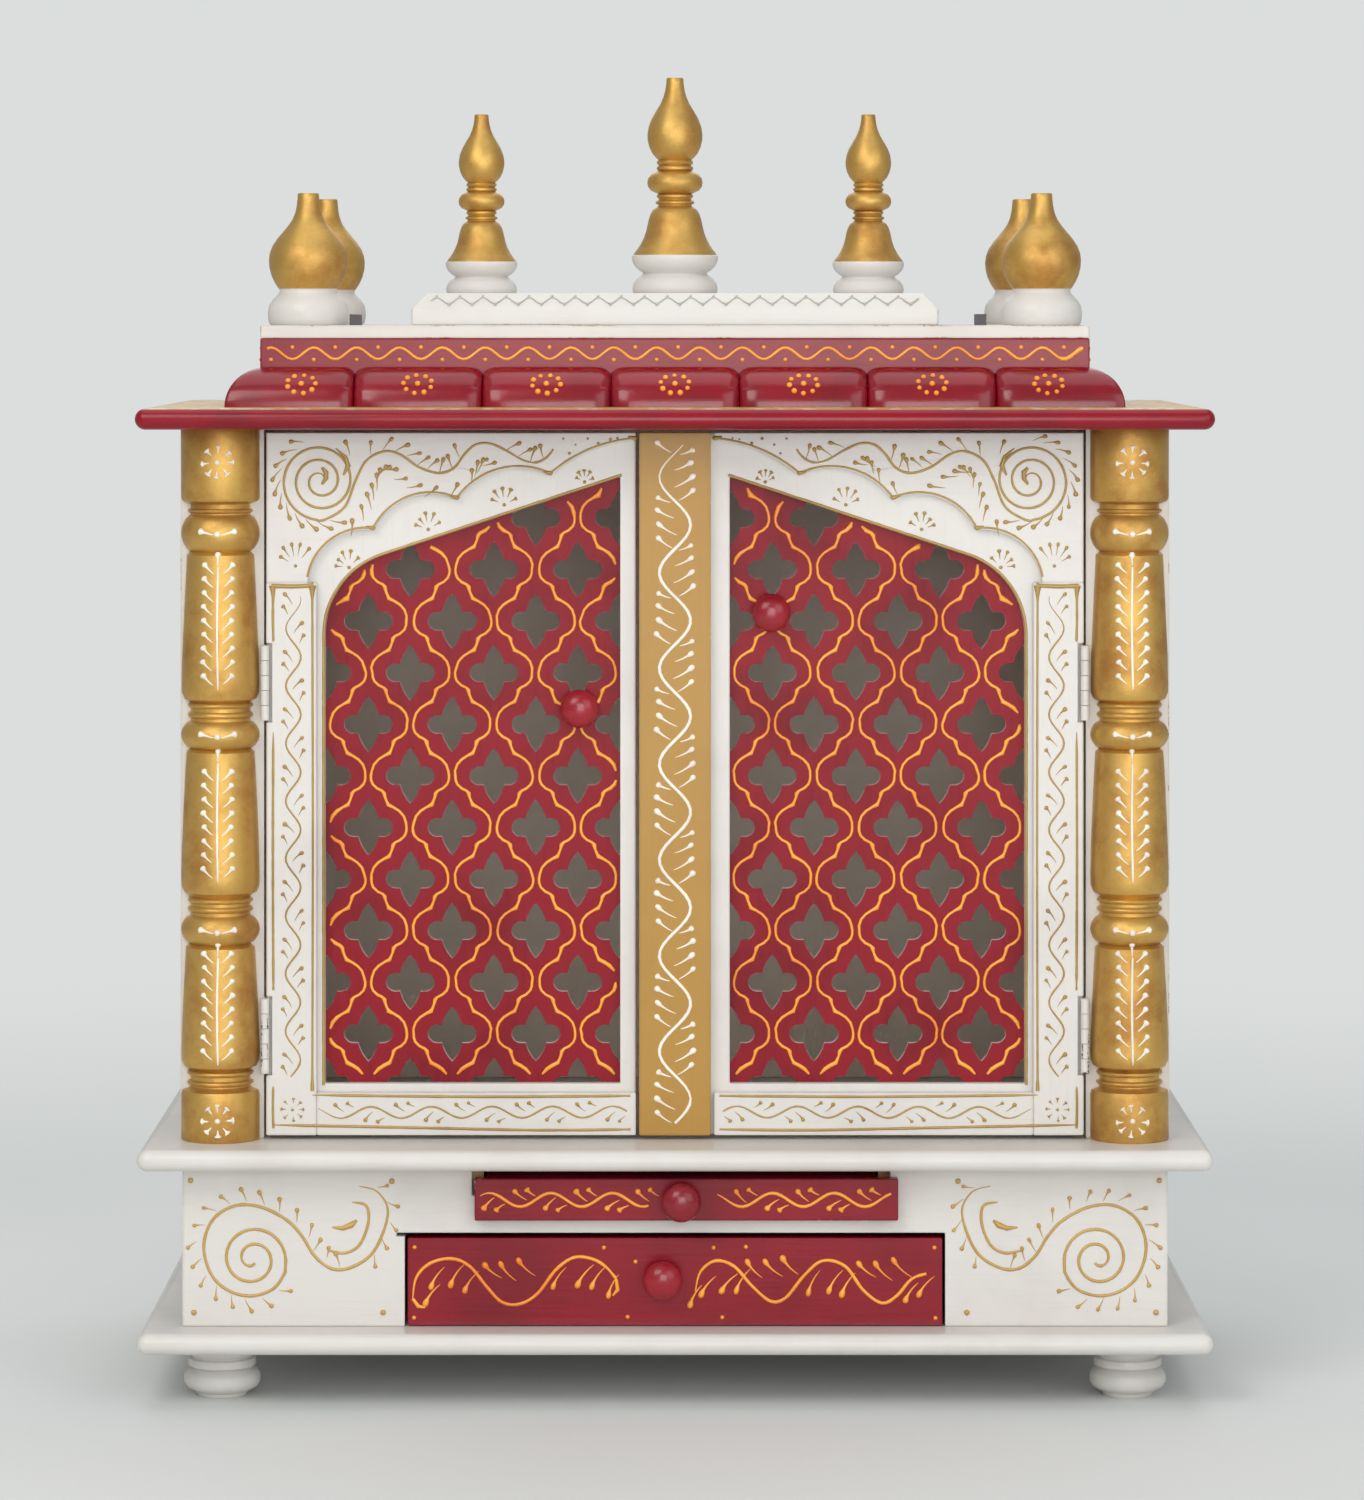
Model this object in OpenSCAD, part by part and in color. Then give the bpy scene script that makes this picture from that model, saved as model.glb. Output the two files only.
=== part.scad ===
// Wooden pooja mandir: a small household shrine with two jali doors, a pull-out tray and a drawer.
// Millimetres, +Z up, the front faces -Y. The origin is on the floor, midway across and midway deep.

/* [Boards] */
// Width of the base board and of the board over the drawer case
board_w = 610; // [500:1:760]
// Depth of every wide board, from the front edge to the flush back
board_d = 305; // [260:1:380]
// Thickness of each of the three wide boards
board_t = 12; // [9:0.5:20]
// Width of the eave board over the doors
eave_w = 612; // [500:1:770]

/* [Feet] */
// Height of the turned feet
foot_h = 31; // [20:1:60]
// Largest radius of a foot
foot_r = 22; // [14:0.5:30]
// Distance of a foot's axis from the end of the base board
foot_inset_x = 45; // [26:1:90]
// Distance of a foot's axis from the front or back edge
foot_inset_y = 50; // [26:1:90]

/* [Drawer case] */
// Outside width of the drawer case
case_w = 562; // [440:1:700]
// Height of the drawer case
case_h = 92; // [80:1:140]
// Setback of the case front from the board's front edge
case_setback = 28; // [15:1:45]
// Thickness of the case panels
case_t = 12; // [9:0.5:18]
// Width of the drawer front
drawer_w = 305; // [220:1:400]
// Height of the drawer front
drawer_h = 50; // [40:1:60]
// Overall depth of the drawer
drawer_d = 240; // [160:1:250]
// Thickness of the drawer's sides and back
drawer_side_t = 8; // [5:0.5:12]
// Thickness of the drawer's bottom
drawer_bottom_t = 4; // [3:0.5:8]
// Gap at each side of the drawer front
drawer_side_gap = 1.7; // [1:0.1:4]
// Gap over the drawer front
drawer_top_gap = 2.8; // [1:0.1:6]
// Gap under the drawer
drawer_floor_gap = 0.5; // [0.3:0.1:2]

/* [Pull-out tray] */
// Width of the tray board
tray_w = 222; // [160:1:300]
// Depth of the tray board
tray_d = 220; // [140:1:240]
// Thickness of the tray board
tray_t = 9; // [6:0.5:14]
// Width of the tray's front strip
fascia_w = 241; // [180:1:320]
// Height of the tray's front strip
fascia_h = 24; // [18:0.5:30]
// Thickness of the tray's front strip
fascia_t = 8; // [5:0.5:10]
// Sideways shift of the tray's centre
tray_x = 3.5; // [-20:0.5:20]
// Sideways shift of the front strip's centre from the tray's
fascia_shift = 3; // [-6:0.5:6]
// Gap from the tray's top to the board above it
tray_top_gap = 6.4; // [3:0.1:12]
// Clearance round the tray where it slides
tray_gap = 2; // [1:0.1:4]
// Width of the slot cut for the tray
slot_w = 236; // [180:1:320]

/* [Cabinet] */
// Outside width of the cabinet
cabinet_w = 568; // [450:1:700]
// Height of the cabinet between its two boards
cabinet_h = 408; // [330:1:520]
// Setback of the cabinet front from the board's front edge
cabinet_setback = 50; // [35:1:70]
// Thickness of the side walls and pilasters
wall_t = 12; // [9:0.5:18]
// Thickness of the back panel
back_t = 6; // [4:0.5:12]
// Width of each front pilaster
pilaster_w = 48; // [46.5:0.5:60]
// Largest radius of a turned column
column_r = 22.5; // [18:0.5:22.5]
// Radius of the narrowest column necks, as a part of the largest
column_neck = 0.76; // [0.6:0.01:0.9]

/* [Doors] */
// Gap between a pilaster and its door
hinge_gap = 1.6; // [1.4:0.1:3]
// Gap over and under the doors
door_end_gap = 2.5; // [1.5:0.1:6]
// Gap between the two doors
meeting_gap = 2; // [1.2:0.1:4]
// Width of the centre strip
strip_w = 41; // [30:1:60]
// Thickness of the centre strip
strip_t = 6; // [4:0.5:9]
// Thickness of the arched door board
arch_board_t = 7; // [5:0.5:12]
// Thickness of the lattice sheet behind it
lattice_t = 5; // [3:0.5:7]
// Thickness of the boards planted on the front
trim_t = 5; // [3:0.5:8]
// Width of the front board at the hinge side
stile_w = 29; // [20:0.5:40]
// Height of the front board along the bottom
rail_h = 24.5; // [16:0.5:40]
// Height of the cusped board along the top
spandrel_h = 86; // [84:1:120]
// Width of the arched board at the hinge side
arch_stile_w = 33.5; // [24:0.5:46]
// Width of the arched board at the meeting side
arch_meeting_w = 9; // [6:0.5:20]
// Height of the arched board's bottom bar
arch_rail_h = 29; // [20:0.5:46]
// Drop of the arch's springing from the top of the door
arch_drop = 116; // [114:1:150]
// Radius of the arch's rounded shoulder
arch_r = 47.5; // [30:0.5:60]
// Slope of the arch from the shoulder to the meeting side
arch_slope = 18.3; // [10:0.1:19]
// Width of each side of the cusped board's scallops, as a rise over the chord
scallop_rise = 0.2; // [0.1:0.01:0.3]
// Pitch across of the lattice holes
hole_pitch_x = 24.1; // [20:0.1:40]
// Pitch upward of the lattice holes
hole_pitch_z = 59.4; // [50:0.1:80]
// Width of a lattice hole
hole_w = 28; // [18:0.5:29]
// Height of a lattice hole
hole_h = 32; // [20:0.5:36]
// Width of the pointed upright lobes
lobe_w = 13; // [8:0.5:15]
// Height of the round sideways lobes
lobe_h = 10.7; // [6:0.1:13]

/* [Hinges and knobs] */
// Length of each butt hinge
hinge_len = 43; // [30:1:60]
// Radius of the hinge barrels
barrel_r = 2.5; // [2:0.1:2.8]
// Height of the lower hinges over the foot of the door
hinge_low = 57; // [30:1:90]
// Drop of the upper hinges from the top of the door
hinge_drop = 143.5; // [30:0.5:160]
// Depth of a hinge leaf
leaf_d = 11; // [6:0.5:11]
// Radius of a knob
knob_r = 11; // [8:0.5:14]
// Height of a knob from its seat
knob_h = 18; // [12:0.5:18]

/* [Roof] */
// Width of the frieze and the slab over it
roof_w = 480; // [380:1:560]
// Height of the pillow moulding
pillow_h = 23; // [14:0.5:26]
// Number of pillows along the front
pillow_count = 7; // [3:1:11]
// Height of the plain band over the pillows
band_h = 16.5; // [10:0.5:30]
// Thickness of the frieze boards
frieze_t = 12; // [8:0.5:16]
// Thickness of the slab
slab_t = 7.5; // [5:0.5:14]
// Width of the platform under the finials
platform_w = 308; // [286:1:380]
// Depth of the platform
platform_d = 172; // [100:1:200]
// Height of the platform
platform_h = 18.7; // [12:0.1:30]
// Bevel round the platform's top edge
platform_bevel = 8.5; // [3:0.5:11]

/* [Finials] */
// Height of the centre finial over the platform
finial_h = 129.3; // [90:0.1:180]
// Size of the side finials against the centre one
side_scale = 0.83; // [0.6:0.01:0.95]
// Distance from the centre finial to a side one
finial_pitch = 116; // [90:1:116]
// Height of a corner finial over the slab
corner_h = 77; // [50:1:110]
// Distance of a corner finial from the middle
corner_x = 214; // [180:1:214]
// Distance of the corner finials from the roof's front and back
corner_inset = 28; // [25:1:50]

/* [Hidden] */
$fn = 48;
front = -board_d / 2;
back = board_d / 2;
base_z = foot_h;
case_z = base_z + board_t;
upper_z = case_z + case_h;
cab_z = upper_z + board_t;
eave_z = cab_z + cabinet_h;
roof_z = eave_z + board_t;
band_z = roof_z + pillow_h;
slab_z = band_z + band_h;
platform_z = slab_z + slab_t;
finial_z = platform_z + platform_h;
case_y = front + case_setback;
case_hw = case_w / 2;
case_back_y = back - case_t;
face_y = front + cabinet_setback;
cab_hw = cabinet_w / 2;
opening_hw = cab_hw - pilaster_w;
column_x = cab_hw - column_r - 0.5;
// the door pair
hinge_x = opening_hw - hinge_gap / 2;
door_edge = opening_hw - hinge_gap;
door_z = cab_z + door_end_gap;
door_top = eave_z - door_end_gap;
door_h = door_top - door_z;
strip_hw = strip_w / 2;
left_edge = strip_hw + meeting_gap;
trim_y = face_y - trim_t;
lattice_y = face_y + arch_board_t;
leaf_back = lattice_y + lattice_t;
hinge_y = trim_y - 0.5;
arch_out = door_edge - arch_stile_w;
arch_in = left_edge + arch_meeting_w;
arch_spring = door_h - arch_drop;
spring_z = door_z + arch_spring;
shoulder_x = arch_out - arch_r;
tangent_x = shoulder_x + arch_r * sin(arch_slope);
tangent_z = spring_z + arch_r * cos(arch_slope);
apex_z = tangent_z + (tangent_x - arch_in) * tan(arch_slope);
stile_top = door_top - spandrel_h;
hinge_high = door_h - hinge_drop;
// the drawer and the tray
drawer_z = case_z + drawer_floor_gap;
drawer_hw = drawer_w / 2;
drawer_open_hw = drawer_hw + drawer_side_gap;
drawer_open_top = drawer_z + drawer_h + drawer_top_gap;
box_hw = drawer_hw - 3;
box_h = drawer_h - 6;
box_back = case_y + drawer_d;
tray_top = upper_z - tray_top_gap;
tray_z = tray_top - tray_t;
tray_hw = tray_w / 2;
tray_front = case_y - 0.5;
slot_z = tray_z - tray_gap;
slot_x = tray_x - 1.2;
runner_t = 8;
// the roof
roof_hw = roof_w / 2;
roof_y = face_y + pillow_h;
roof_back = back;
platform_y = (roof_y + roof_back) / 2;
pillow_hw = roof_hw - 4 + pillow_h;
pillow_pitch = 2 * pillow_hw / pillow_count;
corner_front = roof_y + corner_inset;
corner_rear = roof_back - corner_inset;
// where white gives way to gold on the tall and the corner finials
finial_joint = 23;
corner_joint = 21.4;

// A block between two corners
module block(x0, x1, y0, y1, z0, z1) {
    translate([x0, y0, z0]) cube([x1 - x0, y1 - y0, z1 - z0]);
}

// A wide board: half-round nose along the front and both ends, square and flush at the back
module nosed_board(w, z) {
    r = board_t / 2;
    hw = w / 2 - r;
    block(-hw, hw, front + r, back, z, z + board_t);
    translate([-hw, front + r, z + r]) rotate([0, 90, 0]) cylinder(r = r, h = 2 * hw);
    for (s = [-1, 1]) {
        translate([s * hw, front + r, z + r]) sphere(r = r);
        translate([s * hw, front + r, z + r]) rotate([-90, 0, 0]) cylinder(r = r, h = board_d - r);
    }
}

// A solid turned about its own upright axis, from a half profile
module turned() {
    rotate_extrude($fn = 64) intersection() {
        children();
        translate([0, -1]) square([200, 1000]);
    }
}

module foot() {
    turned() {
        polygon([[0, 0], [foot_r * 0.65, 0], [foot_r * 0.8, 4], [foot_r * 0.8, 15], [0, 15]]);
        translate([foot_r - 7, 9.5]) circle(r = 7);
        translate([0, 14]) square([foot_r * 0.89, 8]);
        square([foot_r * 0.78, foot_h]);
        translate([0, 23]) square([foot_r * 0.89, foot_h - 23]);
    }
}

module feet() {
    fx = board_w / 2 - foot_inset_x;
    color("white") for (sx = [-1, 1]) for (y = [front + foot_inset_y, back - foot_inset_y])
        translate([sx * fx, y, 0]) foot();
}

module base_board() {
    color("white") nosed_board(board_w, base_z);
}

module upper_board() {
    color("white") nosed_board(board_w, upper_z);
}

module eave_board() {
    color("firebrick") nosed_board(eave_w, eave_z);
}

module case_front() {
    color("white") difference() {
        block(-case_hw, case_hw, case_y, case_y + case_t, case_z, upper_z);
        block(-drawer_open_hw, drawer_open_hw, case_y - 1, case_y + case_t + 1,
            case_z - 1, drawer_open_top);
        block(-drawer_open_hw - 4.6, -drawer_open_hw + 1, case_y - 1, case_y + case_t + 1,
            drawer_open_top - 2, drawer_open_top);
        block(slot_x - slot_w / 2, slot_x + slot_w / 2 + 2.4, case_y - 1, case_y + case_t + 1,
            slot_z, upper_z + 1);
    }
}

module case_sides() {
    color("white") for (s = [-1, 1])
        block(min(s * case_hw, s * (case_hw - case_t)), max(s * case_hw, s * (case_hw - case_t)),
            case_y + case_t, case_back_y, case_z, upper_z);
}

module case_back() {
    color("white") block(-case_hw, case_hw, case_back_y, back, case_z, upper_z);
}

// Two L-shaped rails under the upper board carry the tray
module tray_runners() {
    out = tray_hw + tray_gap;
    z0 = tray_z - 0.5 - 10;
    color("burlywood") translate([tray_x, 0, 0]) for (s = [-1, 1]) {
        block(min(s * out, s * (out + runner_t)), max(s * out, s * (out + runner_t)),
            case_y + case_t, case_back_y, z0, upper_z);
        block(min(s * (out - 10), s * (out + 1)), max(s * (out - 10), s * (out + 1)),
            case_y + case_t, case_back_y, z0, tray_z - 0.5);
    }
}

module side_walls() {
    color("white") for (s = [-1, 1])
        block(min(s * cab_hw, s * (cab_hw - wall_t)), max(s * cab_hw, s * (cab_hw - wall_t)),
            face_y + wall_t, back - back_t, cab_z, eave_z);
}

module back_panel() {
    color("white") block(-cab_hw, cab_hw, back - back_t, back, cab_z, eave_z);
}

module pilasters() {
    color("white") for (s = [-1, 1])
        block(min(s * cab_hw, s * opening_hw), max(s * cab_hw, s * opening_hw),
            face_y, face_y + wall_t, cab_z, eave_z);
}

// The turned outline of a column: end blocks, rings, and three long swellings between them
module column_outline() {
    k = cabinet_h / 408;
    r = column_r;
    n = column_r * column_neck;
    square([r, 29.3 * k]);
    square([n, cabinet_h]);
    translate([0, 31.5 * k]) square([n * 1.12, 3 * k]);
    translate([0, 37 * k]) square([n * 1.12, 3 * k]);
    polygon([[0, 41.8 * k], [r * 0.93, 41.8 * k], [r, 46 * k], [r, 52 * k], [r * 0.97, 70 * k],
        [r * 0.88, 111 * k], [0, 112 * k]]);
    translate([0, 120.5 * k]) square([r * 0.5, 10 * k]);
    translate([r - 8.3 * k, 120.5 * k]) circle(r = 8.3 * k);
    translate([0, 114.5 * k]) square([n * 1.08, 2.5 * k]);
    translate([0, 131 * k]) square([n * 1.1, 3 * k]);
    translate([0, 136 * k]) square([n * 1.1, 3 * k]);
    polygon([[0, 141.8 * k], [r * 0.93, 141.8 * k], [r, 146 * k], [r, 154 * k], [r * 0.97, 176 * k],
        [r * 0.87, 223 * k], [0, 224 * k]]);
    translate([r - 8.2 * k, 232.2 * k]) circle(r = 8.2 * k);
    translate([0, 242 * k]) square([n * 1.1, 3.5 * k]);
    translate([0, 248 * k]) square([n * 1.1, 3 * k]);
    polygon([[0, 252.5 * k], [r * 0.92, 252.5 * k], [r * 0.99, 257 * k], [r * 0.99, 264 * k],
        [r * 0.95, 290 * k], [r * 0.86, 336 * k], [0, 337 * k]]);
    translate([r - 10.8 * k, 347.9 * k]) circle(r = 10.8 * k);
    translate([0, 340 * k]) square([r - 10 * k, 16 * k]);
    translate([0, 359.5 * k]) square([n * 1.1, 2.5 * k]);
    translate([0, 366 * k]) square([r, cabinet_h - 366 * k]);
}

module columns() {
    color("goldenrod") for (s = [-1, 1]) translate([s * column_x, face_y, cab_z]) intersection() {
        rotate_extrude($fn = 64) intersection() {
            column_outline();
            square([100, cabinet_h]);
        }
        translate([-50, -50, -1]) cube([100, 50, cabinet_h + 2]);
    }
}

// A knob with a slim stem and a domed cap, standing out of a face toward the front
module knob() {
    rotate([90, 0, 0]) rotate_extrude($fn = 48) {
        square([knob_r * 0.52, knob_h * 0.7]);
        polygon([[0, 0], [knob_r * 0.66, 0], [knob_r * 0.66, knob_h * 0.1], [knob_r * 0.52, knob_h * 0.25],
            [0, knob_h * 0.25]]);
        polygon([[0, knob_h * 0.36], [knob_r * 0.6, knob_h * 0.36], [knob_r, knob_h * 0.55],
            [knob_r, knob_h * 0.66], [knob_r * 0.86, knob_h * 0.84], [knob_r * 0.55, knob_h * 0.96],
            [knob_r * 0.2, knob_h], [0, knob_h]]);
    }
}

module drawer_front() {
    color("firebrick") block(-drawer_hw, drawer_hw, case_y, case_y + case_t, drawer_z, drawer_z + drawer_h);
}

module drawer_sides() {
    color("burlywood") for (s = [-1, 1])
        block(min(s * box_hw, s * (box_hw - drawer_side_t)), max(s * box_hw, s * (box_hw - drawer_side_t)),
            case_y + case_t, box_back, drawer_z + drawer_bottom_t, drawer_z + box_h);
}

module drawer_back() {
    hw = box_hw - drawer_side_t;
    color("burlywood") block(-hw, hw, box_back - drawer_side_t, box_back,
        drawer_z + drawer_bottom_t, drawer_z + box_h);
}

module drawer_bottom() {
    color("burlywood")
        block(-box_hw, box_hw, case_y + case_t, box_back, drawer_z, drawer_z + drawer_bottom_t);
}

module drawer_knob() {
    color("firebrick") translate([-7, case_y, drawer_z + drawer_h * 0.55]) knob();
}

module tray_board() {
    color("firebrick")
        block(tray_x - tray_hw, tray_x + tray_hw, tray_front, case_y + tray_d, tray_z, tray_top);
}

module tray_front_strip() {
    fx = tray_x + fascia_shift;
    color("firebrick") block(fx - fascia_w / 2, fx + fascia_w / 2, tray_front - fascia_t, tray_front,
        tray_top - fascia_h, tray_top);
}

module tray_knob() {
    color("firebrick") translate([tray_x, tray_front - fascia_t, tray_top - fascia_h / 2]) knob();
}

// The arched window of a door, drawn for the left one
module arch_window() {
    translate([-arch_out, door_z + arch_rail_h]) square([arch_out - arch_in, arch_spring - arch_rail_h]);
    translate([-shoulder_x, spring_z]) circle(r = arch_r, $fn = 72);
    polygon([[-shoulder_x, spring_z - 1], [-arch_in, spring_z - 1], [-arch_in, apex_z],
        [-tangent_x, tangent_z]]);
}

// A board lying in the plane of the doors: a flat outline given a thickness toward the back
module upright_sheet(y, t) {
    translate([0, y + t, 0]) rotate([90, 0, 0]) linear_extrude(height = t) children();
}

module door_board(inner) {
    upright_sheet(face_y, arch_board_t) difference() {
        translate([-door_edge, door_z]) square([door_edge - inner, door_h]);
        arch_window();
    }
}

module left_door_board() {
    color("white") door_board(left_edge);
}

module right_door_board() {
    color("white") mirror([1, 0, 0]) door_board(-strip_hw);
}

// Room cut out of the hinge-side boards so that they clear the hinge barrels
module hinge_notches() {
    for (h = [hinge_low, hinge_high])
        translate([-door_edge - 1, trim_y - 1, door_z + h - hinge_len / 2 - 1])
            cube([4.4, trim_t + 1, hinge_len + 2]);
}

module door_stile() {
    difference() {
        block(-door_edge, -door_edge + stile_w, trim_y, face_y, door_z, stile_top);
        hinge_notches();
    }
}

module left_door_stile() {
    color("white") door_stile();
}

module right_door_stile() {
    color("white") mirror([1, 0, 0]) door_stile();
}

module door_rail() {
    block(-door_edge + stile_w, -left_edge, trim_y, face_y, door_z, door_z + rail_h);
}

module left_door_rail() {
    color("white") door_rail();
}

module right_door_rail() {
    color("white") mirror([1, 0, 0]) door_rail();
}

// One scallop between two cusps: a round cut whose edge passes through both
module scallop(a, b, rise) {
    chord = norm(b - a);
    sag = chord * rise;
    r = (chord * chord / 4 + sag * sag) / (2 * sag);
    n = [-(b[1] - a[1]), b[0] - a[0]] / chord;
    c = (a + b) / 2 - n * (r - sag);
    translate(c) circle(r = r, $fn = 72);
}

module door_spandrel() {
    x0 = -door_edge + stile_w - 5;
    run = -left_edge - x0;
    a = [x0, stile_top + 2];
    b = [x0 + run * 0.201, stile_top + 30];
    c = [x0 + run * 0.457, stile_top + 47.5];
    d = [x0 + run * 0.742, stile_top + 61.5];
    e = [-left_edge, stile_top + 81.5];
    upright_sheet(trim_y, trim_t) difference() {
        translate([-door_edge, stile_top]) square([door_edge - left_edge, door_top - stile_top]);
        polygon([[x0, stile_top - 1], a, b, c, d, e,
            [-left_edge + 1, e[1]], [-left_edge + 1, stile_top - 1]]);
        scallop(a, b, scallop_rise);
        scallop(b, c, scallop_rise);
        scallop(c, d, scallop_rise * 0.9);
        scallop(d, e, scallop_rise * 0.4);
    }
}

module left_door_spandrel() {
    color("white") door_spandrel();
}

module right_door_spandrel() {
    color("white") mirror([1, 0, 0]) door_spandrel();
}

// A four-lobed hole: two pointed upright lobes and two round sideways ones
module lattice_hole() {
    r = (hole_h * hole_h + lobe_w * lobe_w) / (4 * lobe_w);
    intersection() {
        translate([r - lobe_w / 2, 0]) circle(r = r, $fn = 96);
        translate([lobe_w / 2 - r, 0]) circle(r = r, $fn = 96);
    }
    for (s = [-1, 1]) translate([s * (hole_w - lobe_h) / 2, 0]) circle(r = lobe_h / 2, $fn = 24);
    square([hole_w - lobe_h, lobe_h], center = true);
}

// The jali sheet behind the arch, with its staggered holes; only those seen in the window are cut
module lattice() {
    x_first = -arch_in - 0.4;
    z_first = spring_z + 7.2;
    columns_across = floor((arch_out - arch_in) / hole_pitch_x) + 1;
    rows_below = ceil(arch_spring / hole_pitch_z) + 1;
    upright_sheet(lattice_y, lattice_t) difference() {
        translate([-door_edge + 3, door_z + 6]) square([door_edge - left_edge - 4, door_h - 12]);
        for (i = [0:columns_across - 1]) for (k = [-rows_below:3]) {
            x = x_first - i * hole_pitch_x;
            z = z_first + k * hole_pitch_z - (i % 2) * hole_pitch_z / 2;
            roof_line = min(apex_z, tangent_z + (tangent_x + x) * tan(arch_slope));
            if (z > door_z + arch_rail_h - 4 && z < roof_line + 6 && (x > -shoulder_x || z < tangent_z - 8))
                translate([x, z]) lattice_hole();
        }
    }
}

module left_lattice() {
    color("firebrick") lattice();
}

module right_lattice() {
    color("firebrick") mirror([1, 0, 0]) lattice();
}

module left_door_knob() {
    color("firebrick") translate([-54.8, lattice_y, door_z + 244.5]) knob();
}

module right_door_knob() {
    color("firebrick") translate([55.2, lattice_y, door_z + 299.5]) knob();
}

// One leaf of the left door's two butt hinges: side -1 is on the cabinet, side 1 is on the door
module hinge_leaves(side, knuckles) {
    plate = hinge_gap / 2 - 0.2;
    k = hinge_len / 5;
    for (h = [hinge_low, hinge_high]) translate([-hinge_x, hinge_y, door_z + h - hinge_len / 2]) {
        block(min(side * 0.2, side * (0.2 + plate)), max(side * 0.2, side * (0.2 + plate)),
            barrel_r + 0.2, face_y - hinge_y + leaf_d, 0, hinge_len);
        for (i = knuckles) translate([0, 0, i * k + 0.15]) {
            cylinder(r = barrel_r, h = k - 0.3, $fn = 24);
            block(min(side * 0.2, side * (0.2 + plate)), max(side * 0.2, side * (0.2 + plate)),
                0, barrel_r + 0.3, 0, k - 0.3);
        }
    }
}

module frame_hinge_leaves() {
    color("white") for (m = [0, 1]) mirror([m, 0, 0]) hinge_leaves(-1, [0, 2, 4]);
}

module left_hinge_leaves() {
    color("white") hinge_leaves(1, [1, 3]);
}

module right_hinge_leaves() {
    color("white") mirror([1, 0, 0]) hinge_leaves(1, [1, 3]);
}

module centre_strip() {
    color("goldenrod") block(-strip_hw, strip_hw, face_y - strip_t, face_y, door_z, door_top);
}

// Quarter-round pillow section, drawn with its square back at x = 0
module pillow_section() {
    intersection() {
        circle(r = pillow_h, $fn = 72);
        square([pillow_h, pillow_h]);
    }
}

module pillow_bar_x(x0, x1) {
    translate([x0, roof_y, roof_z]) rotate([90, 0, 90]) linear_extrude(height = x1 - x0)
        mirror([1, 0]) pillow_section();
}

module pillow_bar_y(s, y0, y1) {
    mirror([s < 0 ? 1 : 0, 0, 0]) translate([pillow_hw - pillow_h, y1, roof_z]) rotate([90, 0, 0])
        linear_extrude(height = y1 - y0) pillow_section();
}

module pillow_moulding_front() {
    color("firebrick") difference() {
        intersection() {
            pillow_bar_x(-pillow_hw, pillow_hw);
            union() {
                block(-pillow_hw + pillow_h, pillow_hw - pillow_h, face_y - 1, roof_y, roof_z, band_z + 1);
                for (s = [-1, 1]) pillow_bar_y(s, face_y - 1, roof_y);
            }
        }
        for (i = [1:pillow_count - 1]) translate([-pillow_hw + i * pillow_pitch, 0, 0])
            translate([0, face_y - 3, roof_z - 1]) rotate([0, 0, 45]) cube([7, 7, pillow_h + 3]);
    }
}

module pillow_moulding_sides() {
    color("firebrick") for (s = [-1, 1]) difference() {
        pillow_bar_y(s, roof_y, roof_back);
        block(-roof_hw, roof_hw, roof_y - 1, roof_back + 1, roof_z - 1, band_z + 1);
    }
}

module frieze_front() {
    color("firebrick") block(-roof_hw, roof_hw, roof_y, roof_y + frieze_t, roof_z, slab_z);
}

module frieze_sides() {
    color("firebrick") for (s = [-1, 1])
        block(min(s * roof_hw, s * (roof_hw - frieze_t)), max(s * roof_hw, s * (roof_hw - frieze_t)),
            roof_y + frieze_t, roof_back - frieze_t, roof_z, slab_z);
}

module frieze_back() {
    color("white") block(-roof_hw, roof_hw, roof_back - frieze_t, roof_back, roof_z, slab_z);
}

module roof_slab() {
    color("white") block(-roof_hw, roof_hw, roof_y, roof_back, slab_z, platform_z);
}

module platform_outline(w) {
    b = platform_bevel;
    h = platform_h;
    polygon([[-w / 2, 0], [w / 2, 0], [w / 2, h - b - 1], [w / 2 - b, h],
        [-w / 2 + b, h], [-w / 2, h - b - 1]]);
}

module roof_platform() {
    d = platform_d;
    color("white") translate([0, platform_y, platform_z]) intersection() {
        translate([0, d / 2, 0]) rotate([90, 0, 0]) linear_extrude(height = d) platform_outline(platform_w);
        translate([-platform_w / 2, 0, 0]) rotate([90, 0, 90]) linear_extrude(height = platform_w)
            platform_outline(d);
    }
}

// The round white foot of a tall finial and the rim over it, in parts of the centre finial's height
module finial_base(s) {
    f = finial_h / 129.3 * s;
    turned() scale([f, f])
        polygon([[0, 0], [25.3, 0], [25.6, 3], [24.6, 6], [22.4, 9], [19.6, 11], [18.8, 11.9],
            [20.6, 13], [23.4, 15.6], [25.2, 18.6], [25.9, 21.4], [25.6, finial_joint], [0, finial_joint]]);
}

// A tall finial: skirted bell, ring, ball, rings and an onion drawn up to a point
module finial(s) {
    f = finial_h / 129.3 * s;
    turned() scale([f, f]) {
        polygon([[0, finial_joint], [25.3, finial_joint], [22.5, 26.5], [20, 30.5], [18, 35],
            [16.8, 39], [15.3, 45], [13.4, 51.3], [0, 51.3]]);
        translate([0, 52]) square([11.7, 4]);
        translate([0, finial_joint]) square([9.6, 80]);
        translate([0, 57.2]) square([10.8, 2.2]);
        translate([8.4, 66.6]) circle(r = 8.2);
        translate([0, 60]) square([8.4, 13]);
        translate([0, 74.4]) square([10.8, 2]);
        translate([0, 77.4]) square([10.8, 2]);
        polygon([[0, 80.6], [11, 80.6], [14.2, 85], [16.1, 90.5], [16.5, 95], [15.7, 100.5], [13.5, 106.5],
            [10.4, 112], [7.6, 117], [6, 121.5], [5.1, 126], [4.9, 129.3], [0, 129.3]]);
    }
}

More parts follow.
